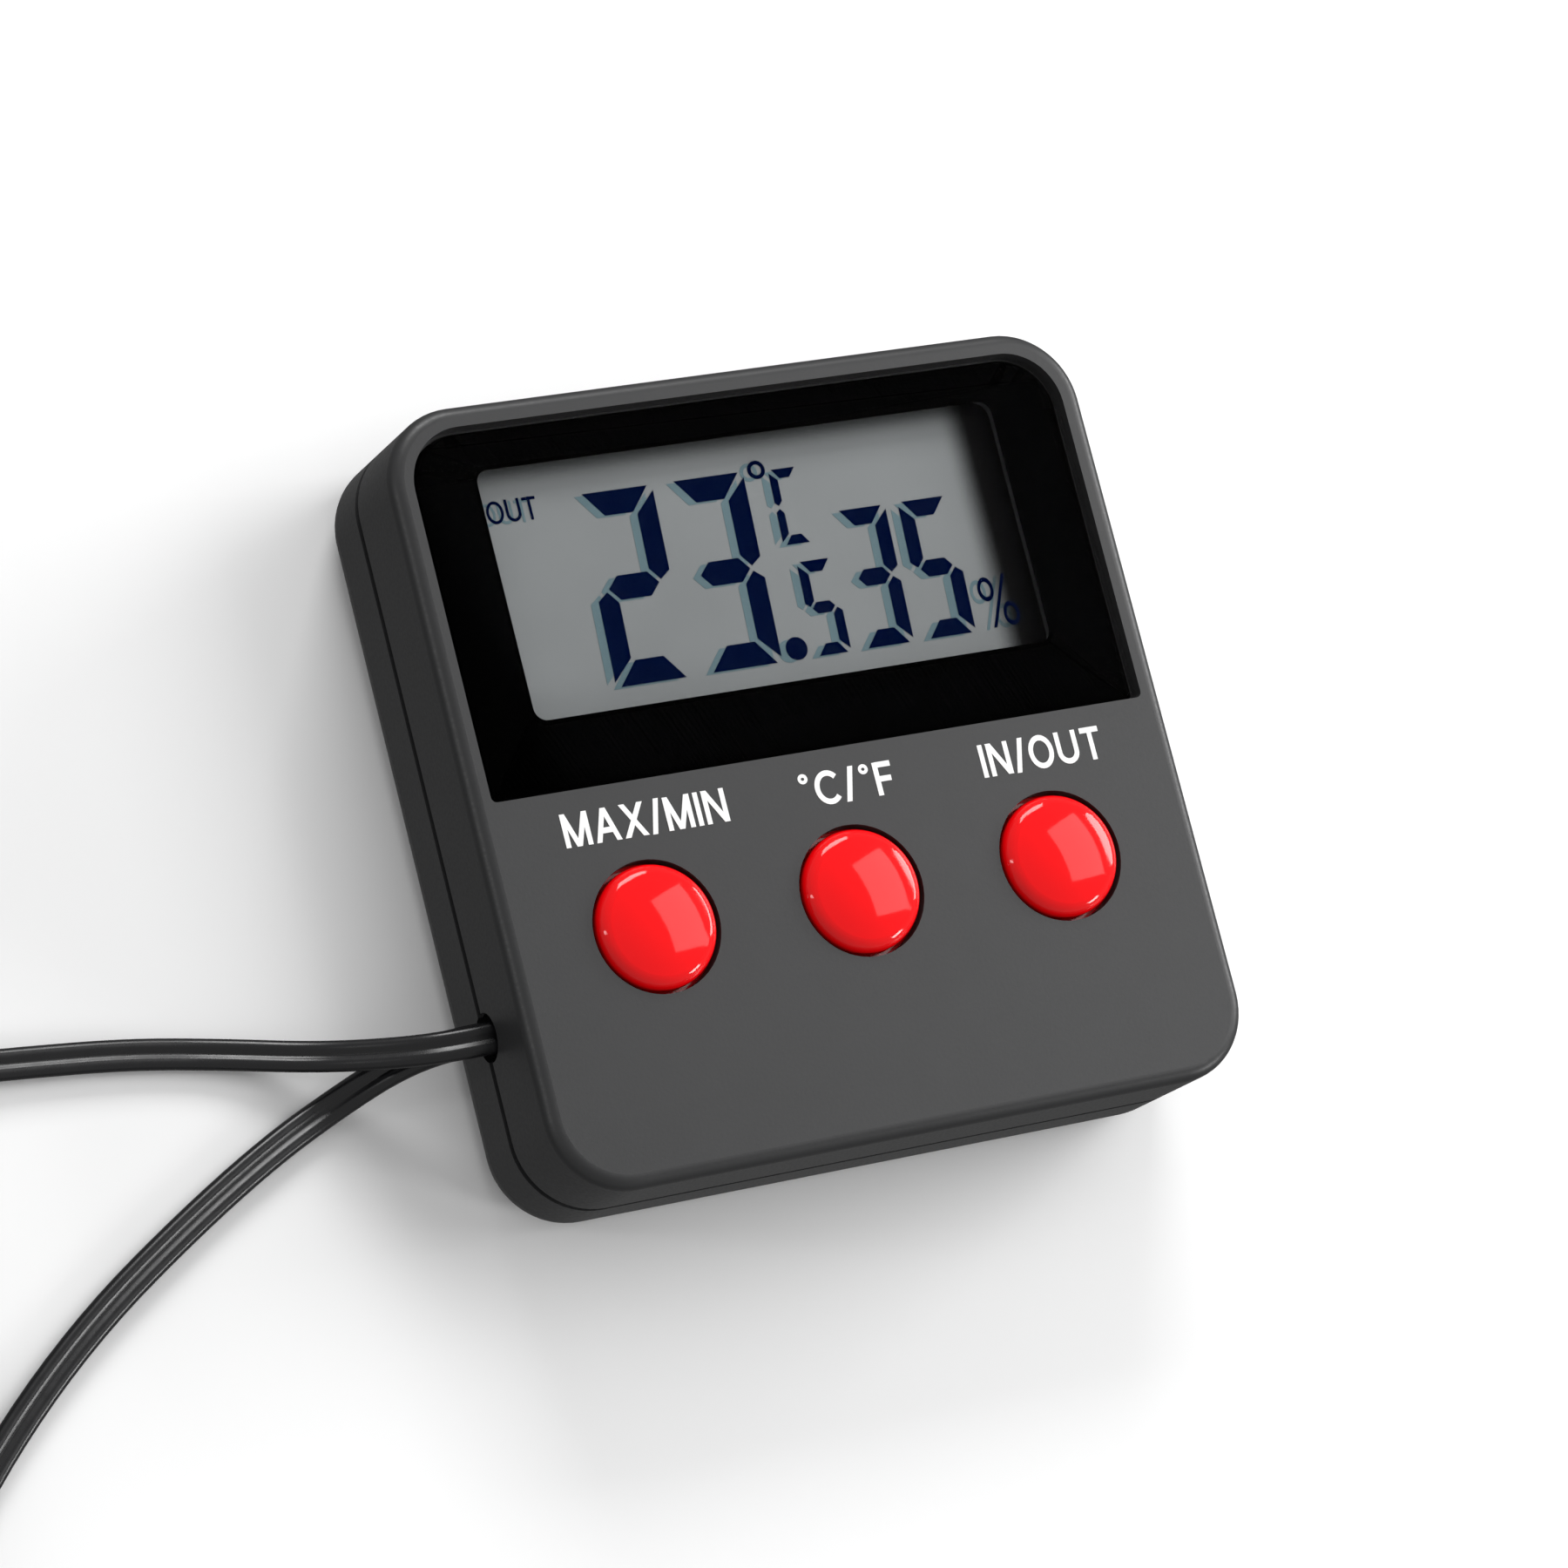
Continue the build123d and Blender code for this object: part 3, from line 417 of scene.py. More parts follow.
def add_bump(material, shader, height, strength, distance):
    """Relief from a height value."""
    tree = material.node_tree
    bump = tree.nodes.new("ShaderNodeBump")
    bump.inputs["Strength"].default_value = strength
    bump.inputs["Distance"].default_value = distance
    tree.links.new(height, bump.inputs["Height"])
    tree.links.new(bump.outputs["Normal"], shader.inputs["Normal"])


def spread_value(material, value, low, high):
    """A noise value carried to a new range."""
    tree = material.node_tree
    node = tree.nodes.new("ShaderNodeMapRange")
    node.inputs["From Min"].default_value = NOISE_LOW
    node.inputs["From Max"].default_value = NOISE_HIGH
    node.inputs["To Min"].default_value = low
    node.inputs["To Max"].default_value = high
    tree.links.new(value, node.inputs["Value"])
    return node.outputs["Result"]


def vary_colour(material, shader, noise, colour, amount):
    """A colour that gets a little lighter and darker with the noise."""
    tree = material.node_tree
    mix = tree.nodes.new("ShaderNodeMix")
    mix.data_type = "RGBA"
    mix.inputs["A"].default_value = [c * (1 - amount) for c in colour] + [1]
    mix.inputs["B"].default_value = [min(1, c * (1 + amount)) for c in colour] + [1]
    tree.links.new(noise.outputs["Fac"], mix.inputs["Factor"])
    tree.links.new(mix.outputs["Result"], shader.inputs["Base Color"])


def plain_finish(
    name, colour, rough, scale, relief, amount=0.08, metal=0.0, distance=2e-5, gloss=0.5
):
    """A moulded, rubber or metal finish with its own grain."""
    material, shader = new_material(name)
    shader.inputs["Metallic"].default_value = metal
    shader.inputs["Specular IOR Level"].default_value = gloss
    cloud = add_noise(material, scale * CLOUD_SHARE, 3.0)
    vary_colour(material, shader, cloud, colour, amount)
    grain = add_noise(material, scale, 4.0)
    low, high = rough * (1 - ROUGH_SPREAD), min(1, rough * (1 + ROUGH_SPREAD))
    rough_value = spread_value(material, grain.outputs["Fac"], low, high)
    material.node_tree.links.new(rough_value, shader.inputs["Roughness"])
    add_bump(material, shader, grain.outputs["Fac"], relief, distance)
    return material


def give(material, *names):
    """Puts one material on CAD nodes."""
    for name in names:
        node = NODES[name]
        node.data.materials.clear()
        node.data.materials.append(material)


# ---- mesh helpers ------------------------------------------------------
def refined_copy(node, name, edge, material):
    """A merged copy of a CAD node with its sharp edges eased; it stands for the node."""
    piece = bpy.data.objects.new(name, NODES[node].data.copy())
    piece.data.name = name
    bpy.context.collection.objects.link(piece)
    only(piece)
    if piece.data.has_custom_normals:
        bpy.ops.mesh.customdata_custom_splitnormals_clear()
    bpy.ops.object.shade_flat()
    bpy.ops.object.mode_set(mode="EDIT")
    bpy.ops.mesh.select_all(action="SELECT")
    bpy.ops.mesh.remove_doubles(threshold=MERGE_DISTANCE)
    bpy.ops.mesh.dissolve_limited(angle_limit=LEVEL_ANGLE)
    bpy.ops.object.mode_set(mode="OBJECT")
    if edge > 0:
        ease = piece.modifiers.new("ease", "BEVEL")
        ease.width = edge
        ease.segments = 2
        ease.limit_method = "ANGLE"
        ease.angle_limit = EASED_ANGLE
        bpy.ops.object.modifier_apply(modifier="ease")
    bpy.ops.object.shade_smooth_by_angle(angle=SMOOTH_ANGLE)
    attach(piece, body_of(NODES[node])[0])
    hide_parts(node)
    piece.data.materials.clear()
    piece.data.materials.append(material)
    return piece


def nothing_selected():
    """Clears the selection before an operator is used."""
    if bpy.context.object and bpy.context.object.mode != "OBJECT":
        bpy.ops.object.mode_set(mode="OBJECT")
    bpy.ops.object.select_all(action="DESELECT")


def only(piece):
    """Makes one piece selected and active."""
    nothing_selected()
    piece.select_set(True)
    bpy.context.view_layer.objects.active = piece


def join_pieces(pieces, name):
    """Joins pieces into one and names it."""
    nothing_selected()
    for piece in pieces:
        piece.select_set(True)
    bpy.context.view_layer.objects.active = pieces[0]
    if len(pieces) > 1:
        bpy.ops.object.join()
    pieces[0].name = name
    pieces[0].data.name = name
    return pieces[0]


def shaped_plate(points, base, thickness):
    """A thin plate whose rim goes through the given points."""
    nothing_selected()
    bpy.ops.mesh.primitive_circle_add(vertices=len(points), radius=MM, fill_type="NGON")
    plate = bpy.context.object
    for vertex, point in zip(plate.data.vertices, points):
        vertex.co = (point[0], point[1], base)
    bpy.ops.object.mode_set(mode="EDIT")
    bpy.ops.mesh.select_all(action="SELECT")
    bpy.ops.mesh.extrude_region_move(TRANSFORM_OT_translate={"value": (0, 0, thickness)})
    bpy.ops.mesh.select_all(action="SELECT")
    bpy.ops.mesh.normals_make_consistent(inside=False)
    bpy.ops.object.mode_set(mode="OBJECT")
    return plate


def ring_plate(centre, outer, inner, base, thickness):
    """A thin flat ring, with its two outer radii and the bore's radius across."""
    nothing_selected()
    bpy.ops.mesh.primitive_circle_add(vertices=RING_SIDES, radius=1.0, fill_type="NGON")
    ring = bpy.context.object
    bpy.ops.object.mode_set(mode="EDIT")
    bpy.ops.mesh.select_all(action="SELECT")
    bpy.ops.mesh.inset(thickness=1 - inner / outer[0], use_even_offset=True)
    bpy.ops.mesh.delete(type="FACE")
    bpy.ops.mesh.select_all(action="SELECT")
    bpy.ops.mesh.extrude_region_move(TRANSFORM_OT_translate={"value": (0, 0, 1)})
    bpy.ops.mesh.select_all(action="SELECT")
    bpy.ops.mesh.normals_make_consistent(inside=False)
    bpy.ops.object.mode_set(mode="OBJECT")
    stretch = Matrix.Diagonal((outer[0], outer[1], thickness, 1))
    ring.data.transform(Matrix.Translation((centre[0], centre[1], base)) @ stretch)
    return ring


# ---- lettering ---------------------------------------------------------
def straight_stroke(x0, y0, x1, y1, thick):
    """The outline of a straight stroke, cut level unless it lies flat."""
    if abs(y1 - y0) < LEVEL_RISE:
        half = thick / 2
        return [(x0, y0 - half), (x1, y0 - half), (x1, y0 + half), (x0, y0 + half)]
    length = math.hypot(x1 - x0, y1 - y0)
    half = thick / 2 * length / abs(y1 - y0)
    return [(x0 - half, y0), (x0 + half, y0), (x1 + half, y1), (x1 - half, y1)]


def round_stroke(x, y, rx, ry, start, stop, thick):
    """The outline of a stroke along part of an oval."""
    count = max(ARC_STEPS_LEAST, int(abs(stop - start) / ARC_STEP))
    outer, inner = [], []
    for number in range(count + 1):
        angle = math.radians(start + (stop - start) * number / count)
        for radius, edge in ((thick / 2, outer), (-thick / 2, inner)):
            across, up = (rx + radius) * math.cos(angle), (ry + radius) * math.sin(angle)
            edge.append((x + across, y + up))
    return outer + inner[::-1]


def word_plate(text, left, right, bottom, height, base, thickness, stroke):
    """A word in plain narrow capitals, made to stand between two edges."""
    weight = stroke / height
    outlines, advance = [], 0.0
    for letter in text:
        width, strokes = GLYPHS[letter]
        thin = weight * DEGREE_THINNING if letter == "°" else weight
        for line in strokes:
            shape = straight_stroke(*line, thin) if len(line) == 4 else round_stroke(*line, thin)
            outlines.append([(advance + x, y) for x, y in shape])
        advance += width + weight + LETTER_ROOM
    xs = [x for outline in outlines for x, y in outline]
    grow = (right - left) / (max(xs) - min(xs))
    plates = []
    for number, outline in enumerate(outlines):
        points = [(left + (x - min(xs)) * grow, bottom + y * height) for x, y in outline]
        plates.append(shaped_plate(points, base, thickness + number * STROKE_STEP))
    return join_pieces(plates, "word")


# ---- display contents ----------------------------------------------------
def segment_shapes(width, height, thick, gap):
    """The outlines of a seven-segment digit's parts, before its slant."""
    # v and t are the thicknesses of a level and an upright segment, and m is half way up.
    w, h, v = width, height, thick
    t, m = UPRIGHT_SHARE * thick, height / 2
    cut, back = gap * CORNER_CUT, t + gap * CORNER_BACK
    shapes = {
        "a": [(cut, h), (w - cut, h), (w - back, h - v), (back, h - v)],
        "d": [(cut, 0), (back, v), (w - back, v), (w - cut, 0)],
        "f": [
            (0, h - cut),
            (t, h - v - gap),
            (t, m + v / 2 + gap),
            (t / 2, m + gap),
            (0, m + v / 3 + gap),
        ],
        "e": [
            (0, cut),
            (0, m - v / 3 - gap),
            (t / 2, m - gap),
            (t, m - v / 2 - gap),
            (t, v + gap),
        ],
        "g": [
            (t / 2 + gap, m),
            (t + gap, m + v / 2),
            (w - t - gap, m + v / 2),
            (w - t / 2 - gap, m),
            (w - t - gap, m - v / 2),
            (t + gap, m - v / 2),
        ],
    }
    shapes["b"] = [(w - x, y) for x, y in reversed(shapes["f"])]
    shapes["c"] = [(w - x, y) for x, y in reversed(shapes["e"])]
    return shapes


def digit_plates(figure, left, bottom, width, height, thick, base, depth):
    """The lit segments of one figure."""
    settings = bpy.context.scene.thermometer_display
    lean = math.tan(settings.digit_slant)
    plates = []
    gap = settings.segment_gap * (thick / (LARGE_STROKE * MM)) ** 0.5
    shapes = segment_shapes(width, height, thick, gap)
    for part in SEGMENTS[figure]:
        points = [(left + x + y * lean, bottom + y) for x, y in shapes[part]]
        plates.append(shaped_plate(points, base, depth))
    return plates


def display_plates(base, depth, shift):
    """All that the display shows, moved by a shift in the panel's plane."""
    large_height = bpy.context.scene.thermometer_display.digit_height

    def at(x, y):
        return x * MM + shift[0], y * MM + shift[1]

    plates = []
    for figure, x, y in LARGE_FIGURES:
        size = (LARGE_WIDTH * MM, large_height, LARGE_STROKE * MM)
        plates += digit_plates(figure, *at(x, y), *size, base, depth)
    for figure, x, y, *size in SMALL_FIGURES:
        plates += digit_plates(figure, *at(x, y), *[c * MM for c in size], base, depth)
    middle = at(*POINT_MIDDLE)
    radius = POINT_RADIUS * MM
    angles = [math.tau * i / POINT_SIDES for i in range(POINT_SIDES)]
    point = [(middle[0] + radius * math.cos(a), middle[1] + radius * math.sin(a)) for a in angles]
    plates.append(shaped_plate(point, base, depth))
    for middle, radii in RINGS:
        outer = [c * MM for c in radii]
        plates.append(ring_plate(at(*middle), outer, RING_BORE * MM, base, depth))
    low, high, across = at(*SLASH_FOOT), at(*SLASH_HEAD), SLASH_WIDTH * MM
    slash = [low, (low[0] + across, low[1]), (high[0] + across, high[1]), high]
    plates.append(shaped_plate(slash, base, depth))
    left, bottom = at(*SENSOR_WORD_PLACE)
    width, height = [c * MM for c in SENSOR_WORD_SIZE]
    stroke = SENSOR_WORD_STROKE * MM
    plates.append(
        word_plate(SENSOR_WORD, left, left + width, bottom, height, base, depth, stroke)
    )
    return plates


def multiplied(tree, first, second):
    """One value times another."""
    node = tree.nodes.new("ShaderNodeMath")
    node.operation = "MULTIPLY"
    tree.links.new(first, node.inputs[0])
    tree.links.new(second, node.inputs[1])
    return node.outputs["Value"]


def shaded_finish(name, colour, rough):
    """A display colour with the panel's shade painted at its right end and its top."""
    material, shader = new_material(name)
    tree = material.node_tree
    place = tree.nodes.new("ShaderNodeTexCoord")
    split = tree.nodes.new("ShaderNodeSeparateXYZ")
    tree.links.new(place.outputs["Object"], split.inputs["Vector"])
    cloud = add_noise(material, 60.0, 2.0)
    level = spread_value(material, cloud.outputs["Fac"], 1 - DISPLAY_SPREAD, 1 + DISPLAY_SPREAD)
    for axis, start, stop, floor in PANEL_SHADE:
        fade = tree.nodes.new("ShaderNodeMapRange")
        fade.interpolation_type = "SMOOTHSTEP"
        fade.inputs["From Min"].default_value = start * MM
        fade.inputs["From Max"].default_value = stop * MM
        fade.inputs["To Min"].default_value = 1.0
        fade.inputs["To Max"].default_value = floor
        tree.links.new(split.outputs[axis], fade.inputs["Value"])
        level = multiplied(tree, level, fade.outputs["Result"])
    mix = tree.nodes.new("ShaderNodeMix")
    mix.data_type = "RGBA"
    mix.clamp_factor = False
    mix.inputs["A"].default_value = PANEL_DARKEST
    mix.inputs["B"].default_value = (*colour, 1)
    tree.links.new(level, mix.inputs["Factor"])
    tree.links.new(mix.outputs["Result"], shader.inputs["Base Color"])
    speck = add_noise(material, 9000.0, 2.0)
    rough_value = spread_value(material, speck.outputs["Fac"], rough, rough + 0.1)
    tree.links.new(rough_value, shader.inputs["Roughness"])
    shader.inputs["Specular IOR Level"].default_value = 0.03
    return material


# ---- leads -------------------------------------------------------------
def coil_points(middle, settings):
    """Neat turns, layer on layer, first inwards and then outwards again."""
    turns, layers, steps = settings.coil_turns, COIL_LAYERS, COIL_STEPS
    swing = turns / layers * (settings.width + TURN_ROOM) / 2
    count = round(turns * steps)
    points = []
    for number in range(count + 1):
        done = number / steps
        layer = min(done / (turns / layers), layers - 1e-6)
        within = layer % 1
        inward = within if int(layer) % 2 == 0 else 1 - within
        radius = (settings.coil_radius + swing - 2 * swing * inward) / math.cos(math.pi / steps)
        climb = max(0.0, (within - (1 - CLIMB_SHARE)) / CLIMB_SHARE) if layer < layers - 1 else 0.0
        height = COIL_BASE + (int(layer) + climb) * (settings.thickness + LAYER_ROOM)
        angle = -math.pi / 2 - math.tau * done
        x = middle[0] * MM + radius * math.cos(angle)
        y = middle[1] * MM + radius * math.sin(angle)
        points.append((x, y, height))
    return points


def smooth_line(points):
    """The points along one smooth open curve through the route."""
    curve = bpy.data.curves.new("route", "CURVE")
    curve.dimensions = "3D"
    spline = curve.splines.new("NURBS")
    spline.points.add(len(points) - 1)
    for control, point in zip(spline.points, points):
        control.co = (*point, 1)
    spline.order_u = 3
    spline.use_endpoint_u = True
    spline.resolution_u = 5
    holder = bpy.data.objects.new("route", curve)
    bpy.context.collection.objects.link(holder)
    bpy.context.view_layer.update()
    mesh = bpy.data.meshes.new_from_object(holder)
    line = [v.co.copy() for v in mesh.vertices]
    bpy.data.objects.remove(holder)
    bpy.data.meshes.remove(mesh)
    bpy.data.curves.remove(curve)
    return line


def twin_section(width, thickness):
    """Two round cores joined by a thin web."""
    r = thickness / 2
    centre = width / 2 - r
    right = [
        (centre + r * math.cos(math.radians(a)), r * math.sin(math.radians(a)))
        for a in CORE_ANGLES
    ]
    left = [(-x, -y) for x, y in right]
    return right + left


def lead_tube(name, line, section):
    """A level twin-core tube along a line, closed at both ends."""
    mesh = bmesh.new()
    rings = []
    for number, point in enumerate(line):
        before = line[max(number - 1, 0)]
        after = line[min(number + 1, len(line) - 1)]
        along = (after - before).normalized()
        side = Vector((0, 0, 1)).cross(along).normalized()
        up = along.cross(side).normalized()
        rings.append([mesh.verts.new(point + side * x + up * y) for x, y in section])
    size = len(section)
    for first, second in zip(rings, rings[1:]):
        for i in range(size):
            j = (i + 1) % size
            mesh.faces.new((first[i], first[j], second[j], second[i]))
    mesh.faces.new(rings[0])
    mesh.faces.new(rings[-1])
    bmesh.ops.recalc_face_normals(mesh, faces=mesh.faces)
    data = bpy.data.meshes.new(name)
    mesh.to_mesh(data)
    mesh.free()
    tube = bpy.data.objects.new(name, data)
    bpy.context.collection.objects.link(tube)
    only(tube)
    bpy.ops.object.shade_smooth_by_angle(angle=LEAD_SMOOTH_ANGLE)
    return tube


def studio_world():
    """Even white light from above the horizon, and less than half as much from below."""
    world = bpy.data.worlds.new("studio")
    world.use_nodes = True
    tree = world.node_tree
    place = tree.nodes.new("ShaderNodeTexCoord")
    split = tree.nodes.new("ShaderNodeSeparateXYZ")
    level = tree.nodes.new("ShaderNodeMapRange")
    level.inputs["From Min"].default_value = -HORIZON_BLEND
    level.inputs["From Max"].default_value = 0.0
    level.inputs["To Min"].default_value = WORLD_BELOW
    level.inputs["To Max"].default_value = WORLD_ABOVE
    tree.links.new(place.outputs["Generated"], split.inputs["Vector"])
    tree.links.new(split.outputs["Z"], level.inputs["Value"])
    tree.links.new(level.outputs["Result"], tree.nodes["Background"].inputs["Strength"])
    tree.nodes["Background"].inputs["Color"].default_value = (1, 1, 1, 1)
    return world


class THERMOMETER_OT_stage(bpy.types.Operator):
    """Make the camera, the lights, the floor and the surroundings"""

    bl_idname = "thermometer.stage"
    bl_label = "Stage"

    def execute(self, context):
        scene = context.scene
        nothing_selected()
        bpy.ops.object.camera_add()
        camera = context.object
        camera.name = "view_camera"
        camera.data.lens = VIEW_LENS
        camera.data.sensor_width = 36.0
        camera.data.clip_start = 0.01
        camera.data.clip_end = 20.0
        right = Vector(VIEW_RIGHT).normalized()
        ahead = Vector(VIEW_AHEAD).normalized()
        up = right.cross(ahead).normalized()
        right = ahead.cross(up)
        turn = Matrix((right, up, -ahead)).transposed().to_4x4()
        camera.matrix_world = Matrix.Translation(VIEW_PLACE) @ turn
        scene.camera = camera

        nothing_selected()
        bpy.ops.mesh.primitive_plane_add(size=FLOOR_SIZE, location=(0, 0, 0))
        floor = context.object
        floor.name = "floor"
        floor.data.transform(Matrix.Translation((0, 0, -FLOOR_DROP)))
        floor.data.materials.append(
            plain_finish("floor_paper", (0.93, 0.93, 0.93), 0.9, 400.0, 0.02, amount=0.004)
        )
        floor.visible_glossy = False
        floor.visible_diffuse = False

        aim = Vector(LIGHT_AIM)
        for name, way, distance, size, power in SOFTBOXES:
            nothing_selected()
            bpy.ops.object.light_add(type="AREA")
            light = context.object
            light.name = name
            light.data.shape = "RECTANGLE"
            light.data.size, light.data.size_y = size
            light.data.energy = power
            way = Vector(way).normalized()
            light.location = aim + way * distance
            light.rotation_mode = "QUATERNION"
            light.rotation_quaternion = (-way).to_track_quat("-Z", "Y")
        scene.world = studio_world()
        scene.view_settings.view_transform = "Standard"
        return {"FINISHED"}


class THERMOMETER_OT_leads(bpy.types.Operator):
    """Lay the two flat leads along the floor and into their tied coils"""

    bl_idname = "thermometer.leads"
    bl_label = "Leads"

    def execute(self, context):
        settings = context.scene.thermometer_lead
        section = twin_section(settings.width, settings.thickness)
        sleeve = plain_finish("lead_sleeve", settings.colour, 0.28, 900.0, 0.05, amount=0.1)
        for kind, route, middle, end, extras in (
            (
                "temperature",
                TEMPERATURE_ROUTE,
                TEMPERATURE_COIL,
                TEMPERATURE_END,
                ("probe", "bead"),
            ),
            (
                "humidity",
                HUMIDITY_ROUTE,
                HUMIDITY_COIL,
                HUMIDITY_END,
                ("probe_shell", "probe_cap", "sensor"),
            ),
        ):
            start = [tuple(c * MM for c in p) for p in route]
            stop = [tuple(c * MM for c in p) for p in end]
            line = smooth_line(start + coil_points(middle, settings) + stop)
            lead = lead_tube(kind + "_flat_lead", line, section)
            lead.data.materials.append(sleeve)
            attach(lead, "case")
            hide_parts(kind + "_lead", kind + "_lead_coil", kind + "_lead_end")
        give(sleeve, "temperature_lead_tail", "humidity_lead_tail")
        tie = plain_finish("tie_plastic", (0.01, 0.01, 0.011), 0.45, 2500.0, 0.2)
        give(tie, "temperature_lead_tie", "humidity_lead_tie")
        return {"FINISHED"}


class THERMOMETER_OT_case(bpy.types.Operator):
    """Give the covers, the door, the stand and the screws their finish"""

    bl_idname = "thermometer.case"
    bl_label = "Case"

    def execute(self, context):
        settings = context.scene.thermometer_case
        cover = plain_finish(
            "case_moulding",
            settings.case_colour,
            0.4,
            3200.0,
            settings.grain,
            distance=6e-5,
            gloss=0.38,
        )
        give(cover, "front_cover", "rear_cover", "battery_door", "stand")
        zinc = plain_finish("zinc_plate", (0.55, 0.56, 0.58), 0.3, 1500.0, 0.1, metal=1.0)
        give(zinc, "case_screws", "board_screws")
        return {"FINISHED"}


class THERMOMETER_OT_buttons(bpy.types.Operator):
    """Give the buttons and what lies under them their finish"""

    bl_idname = "thermometer.buttons"
    bl_label = "Buttons"

    def execute(self, context):
        settings = context.scene.thermometer_case
        red = plain_finish(
            "button_moulding", settings.button_colour, 0.07, 500.0, 0.02, amount=0.02, gloss=0.36
        )
        rubber = plain_finish("key_rubber", (0.28, 0.28, 0.29), 0.7, 2500.0, 0.2)
        carbon = plain_finish("carbon_pill", (0.015, 0.015, 0.015), 0.8, 4000.0, 0.3)
        for name in ("max_min", "units", "in_out"):
            give(red, "button_" + name)
            give(rubber, "plunger_" + name)
            give(carbon, "pill_" + name)
        give(rubber, "key_pad")
        return {"FINISHED"}


class THERMOMETER_OT_legends(bpy.types.Operator):
    """Print the three legends above the buttons"""

    bl_idname = "thermometer.legends"
    bl_label = "Legends"

    def execute(self, context):
        settings = context.scene.thermometer_case
        ink = plain_finish("legend_ink", settings.legend_colour, 0.55, 4000.0, 0.05, amount=0.02)
        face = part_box("front_cover")[1][2]
        for name, text, left, right in LEGENDS:
            word = word_plate(
                text,
                left * MM,
                right * MM,
                settings.legend_base,
                settings.legend_height,
                face - LEGEND_SINK,
                LEGEND_THICKNESS,
                settings.legend_stroke,
            )
            word.name = name
            word.data.name = name
            word.data.materials.append(ink)
            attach(word, "case")
        return {"FINISHED"}


class THERMOMETER_OT_display(bpy.types.Operator):
    """Build the display: lens, mask, grey panel, figures and their shadows"""

    bl_idname = "thermometer.display"
    bl_label = "Display"

    def execute(self, context):
        settings = context.scene.thermometer_display
        lens, shader = new_material("lens_acrylic")
        shader.inputs["Base Color"].default_value = (0.0, 0.0, 0.0, 1)
        shader.inputs["Roughness"].default_value = 0.03
        shader.inputs["Alpha"].default_value = 0.05
        shader.inputs["Specular IOR Level"].default_value = 0.15
        haze = add_noise(lens, 200.0, 2.0)
        add_bump(lens, shader, haze.outputs["Fac"], 0.01, 1e-5)
        refined_copy("display_lens", "lens_plate", LENS_EDGE, lens)
        mask, shader = new_material("mask_ink")
        shader.inputs["Base Color"].default_value = (0.0005, 0.0005, 0.0005, 1)
        shader.inputs["Specular IOR Level"].default_value = 0.0
        speck = add_noise(mask, 3000.0, 2.0)
        mask.node_tree.links.new(
            spread_value(mask, speck.outputs["Fac"], 0.3, 0.36), shader.inputs["Roughness"]
        )
        refined_copy("lens_mask", "mask_film", 0, mask)
        give(shaded_finish("lcd_ground", settings.panel_colour, 0.5), "lcd_front_polariser")
        glass, shader = new_material("cell_glass")
        shader.inputs["Base Color"].default_value = (0.7, 0.75, 0.73, 1)
        shader.inputs["Roughness"].default_value = 0.05
        shader.inputs["Alpha"].default_value = 0.4
        add_bump(glass, shader, add_noise(glass, 300.0, 2.0).outputs["Fac"], 0.01, 1e-5)
        give(glass, "lcd_front_glass", "lcd_rear_glass")
        foil = plain_finish("reflector_foil", (0.4, 0.42, 0.41), 0.35, 2500.0, 0.1, metal=0.6)
        give(foil, "lcd_reflector")
        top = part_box("lcd_front_polariser")[1][2]
        dark, shader = new_material("lcd_segment")
        vary_colour(dark, shader, add_noise(dark, 500.0, 2.0), settings.segment_colour, 0.1)
        shader.inputs["Roughness"].default_value = 0.5
        shader.inputs["Specular IOR Level"].default_value = 0.0
        shade = shaded_finish("lcd_shadow", settings.shadow_colour, 0.55)
        base = top - FIGURE_SINK
        shift = [c + d for c, d in zip(FIGURE_SHIFT, SHADOW_OFFSET)]
        shadows = join_pieces(display_plates(base, SHADOW_THICKNESS, shift), "lcd_shadows")
        shadows.data.materials.append(shade)
        figures = join_pieces(display_plates(base, FIGURE_THICKNESS, FIGURE_SHIFT), "lcd_figures")
        figures.data.materials.append(dark)
        for piece in (shadows, figures):
            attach(piece, "case")
        return {"FINISHED"}


class THERMOMETER_OT_inner_parts(bpy.types.Operator):
    """Give the parts inside the case their finish"""

    bl_idname = "thermometer.inner_parts"
    bl_label = "Inner parts"

    def execute(self, context):
        for name, colour, rough, metal, nodes in (
            ("holder_moulding", (0.6, 0.6, 0.57), 0.5, 0.0, ("lcd_holder",)),
            ("contact_rubber", (0.02, 0.02, 0.02), 0.7, 0.0, ("zebra_strip",)),
            ("board_lacquer", (0.03, 0.18, 0.06), 0.3, 0.0, ("circuit_board",)),
            (
                "sealing_resin",
                (0.01, 0.01, 0.01),
                0.25,
                0.0,
                ("controller_blob", "indoor_thermistor"),
            ),
            (
                "bright_nickel",
                (0.7, 0.68, 0.64),
                0.22,
                1.0,
                ("timing_crystal", "battery_plate", "battery_spring"),
            ),
            ("chip_ceramic", (0.2, 0.15, 0.1), 0.5, 0.0, ("chip_components",)),
            ("cell_jacket", (0.02, 0.05, 0.14), 0.25, 0.2, ("battery",)),
            ("red_sleeve", (0.55, 0.01, 0.01), 0.4, 0.0, ("battery_wire_red",)),
            ("black_sleeve", (0.01, 0.01, 0.01), 0.4, 0.0, ("battery_wire_black",)),
        ):
            give(plain_finish(name, colour, rough, 1800.0, 0.12, metal=metal), *nodes)
        return {"FINISHED"}


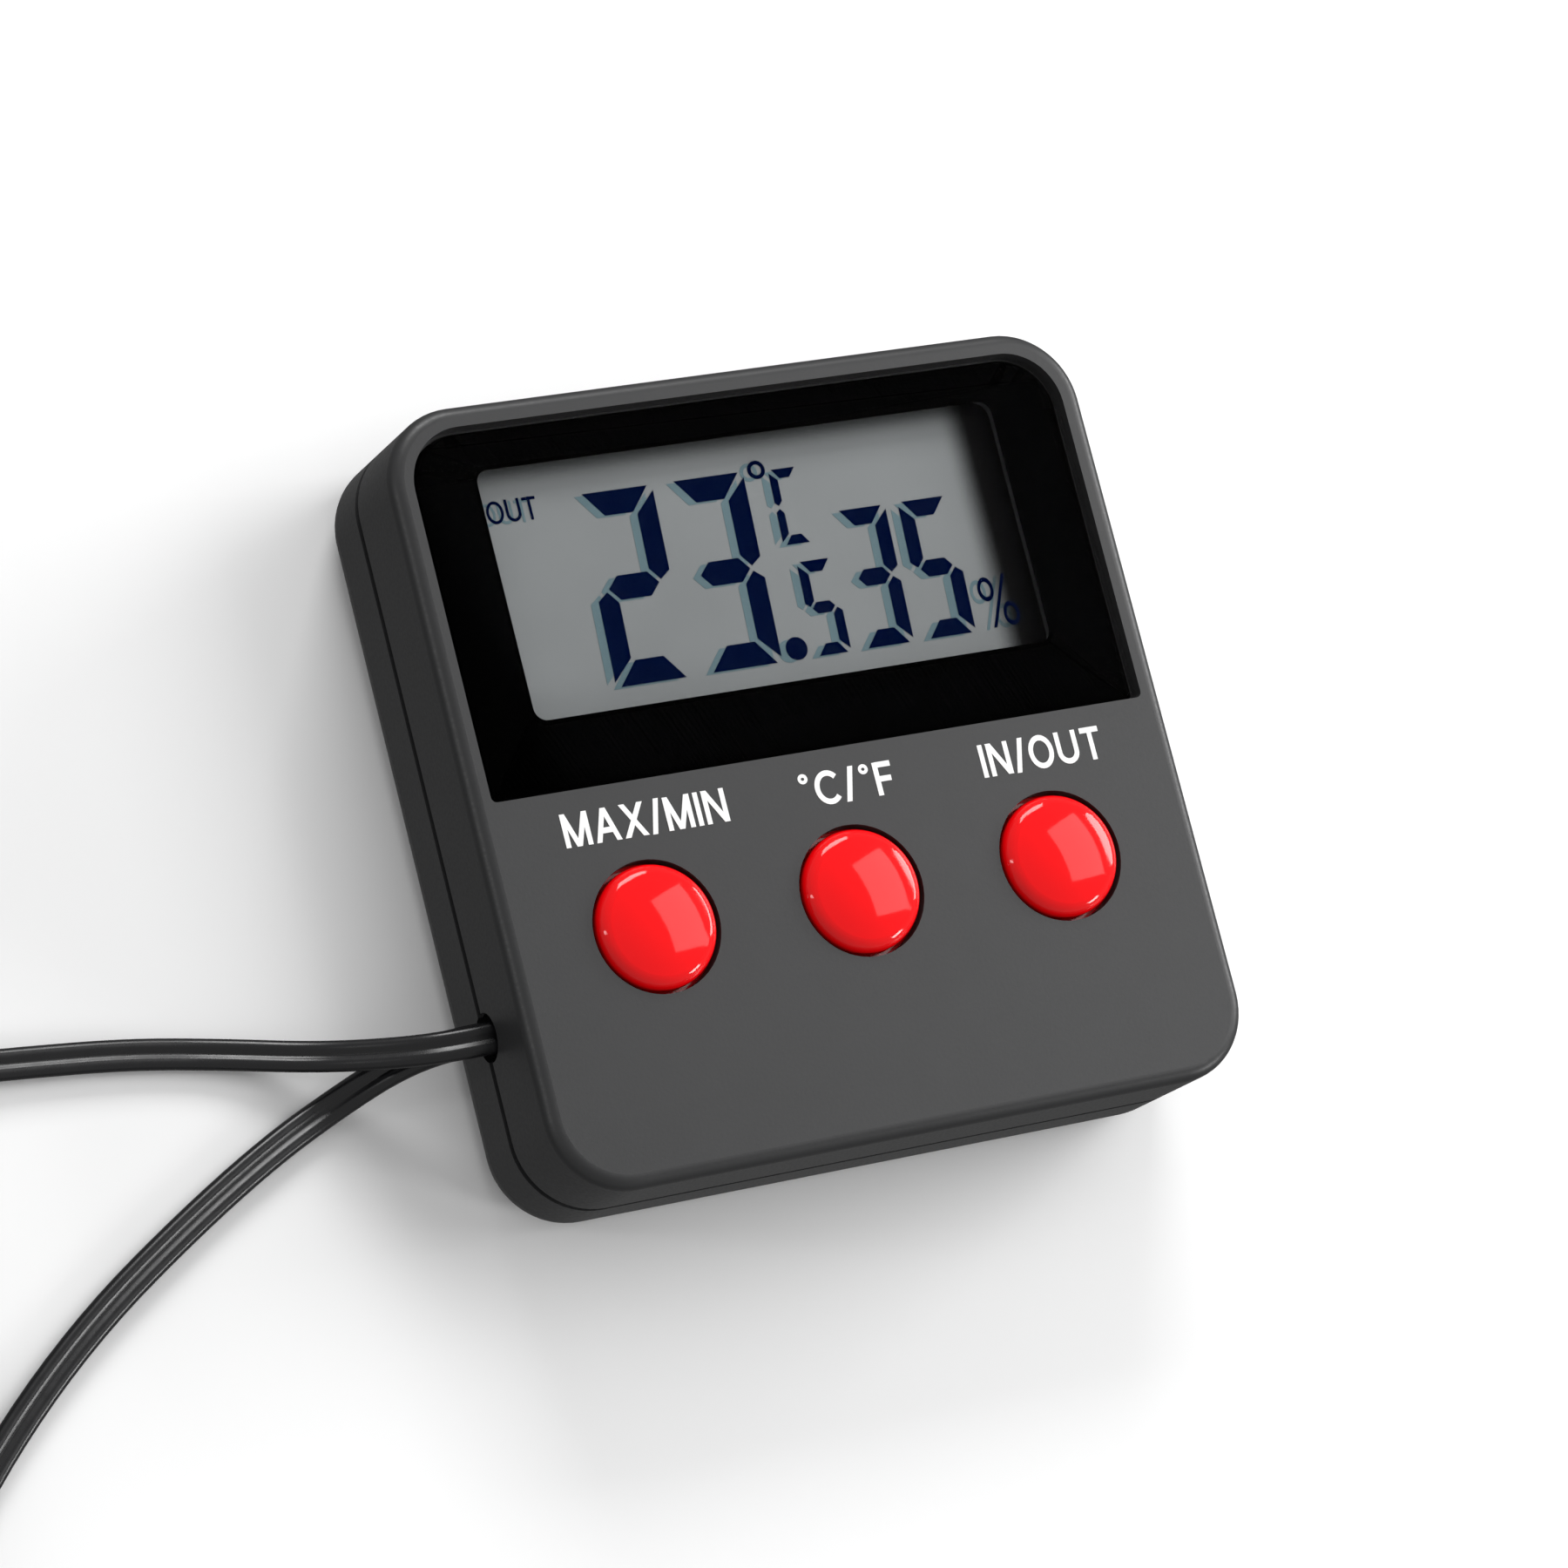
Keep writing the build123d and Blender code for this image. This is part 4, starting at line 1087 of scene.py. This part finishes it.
class THERMOMETER_OT_probes(bpy.types.Operator):
    """Give the probes at the leads' far ends their finish"""

    bl_idname = "thermometer.probes"
    bl_label = "Probes"

    def execute(self, context):
        moulding = plain_finish("probe_moulding", (0.012, 0.012, 0.013), 0.35, 2500.0, 0.15)
        give(moulding, "temperature_probe", "humidity_probe_shell", "humidity_probe_cap")
        epoxy = plain_finish("bead_epoxy", (0.02, 0.02, 0.02), 0.2, 1500.0, 0.1)
        give(epoxy, "temperature_bead")
        ceramic = plain_finish("sensor_ceramic", (0.62, 0.62, 0.58), 0.5, 3000.0, 0.15)
        give(ceramic, "humidity_sensor")
        return {"FINISHED"}


class THERMOMETER_PT_panel(bpy.types.Panel):
    """Sizes, colours and steps of the thermometer"""

    bl_label = "Thermometer"
    bl_idname = "THERMOMETER_PT_panel"
    bl_space_type = "VIEW_3D"
    bl_region_type = "UI"
    bl_category = "Thermometer"

    def draw(self, context):
        for group in GROUPS:
            settings = getattr(context.scene, group)
            box = self.layout.box()
            for key in settings.__annotations__:
                box.prop(settings, key)
        for step in STEPS:
            self.layout.operator(step.bl_idname)


GROUPS = {
    "thermometer_case": CaseSettings,
    "thermometer_display": DisplaySettings,
    "thermometer_lead": LeadSettings,
}
STEPS = (
    THERMOMETER_OT_stage,
    THERMOMETER_OT_leads,
    THERMOMETER_OT_case,
    THERMOMETER_OT_buttons,
    THERMOMETER_OT_legends,
    THERMOMETER_OT_display,
    THERMOMETER_OT_inner_parts,
    THERMOMETER_OT_probes,
)


def register():
    """Registers the settings, the steps and the panel."""
    for name, group in GROUPS.items():
        bpy.utils.register_class(group)
        setattr(bpy.types.Scene, name, bpy.props.PointerProperty(type=group))
    for step in STEPS:
        bpy.utils.register_class(step)
    bpy.utils.register_class(THERMOMETER_PT_panel)


def unregister():
    """Takes the settings, the steps and the panel away again."""
    bpy.utils.unregister_class(THERMOMETER_PT_panel)
    for step in reversed(STEPS):
        bpy.utils.unregister_class(step)
    for name, group in GROUPS.items():
        delattr(bpy.types.Scene, name)
        bpy.utils.unregister_class(group)


def main():
    """Runs every step."""
    register()
    for step in STEPS:
        group, name = step.bl_idname.split(".")
        getattr(getattr(bpy.ops, group), name)()


if __name__ == "__main__":
    main()
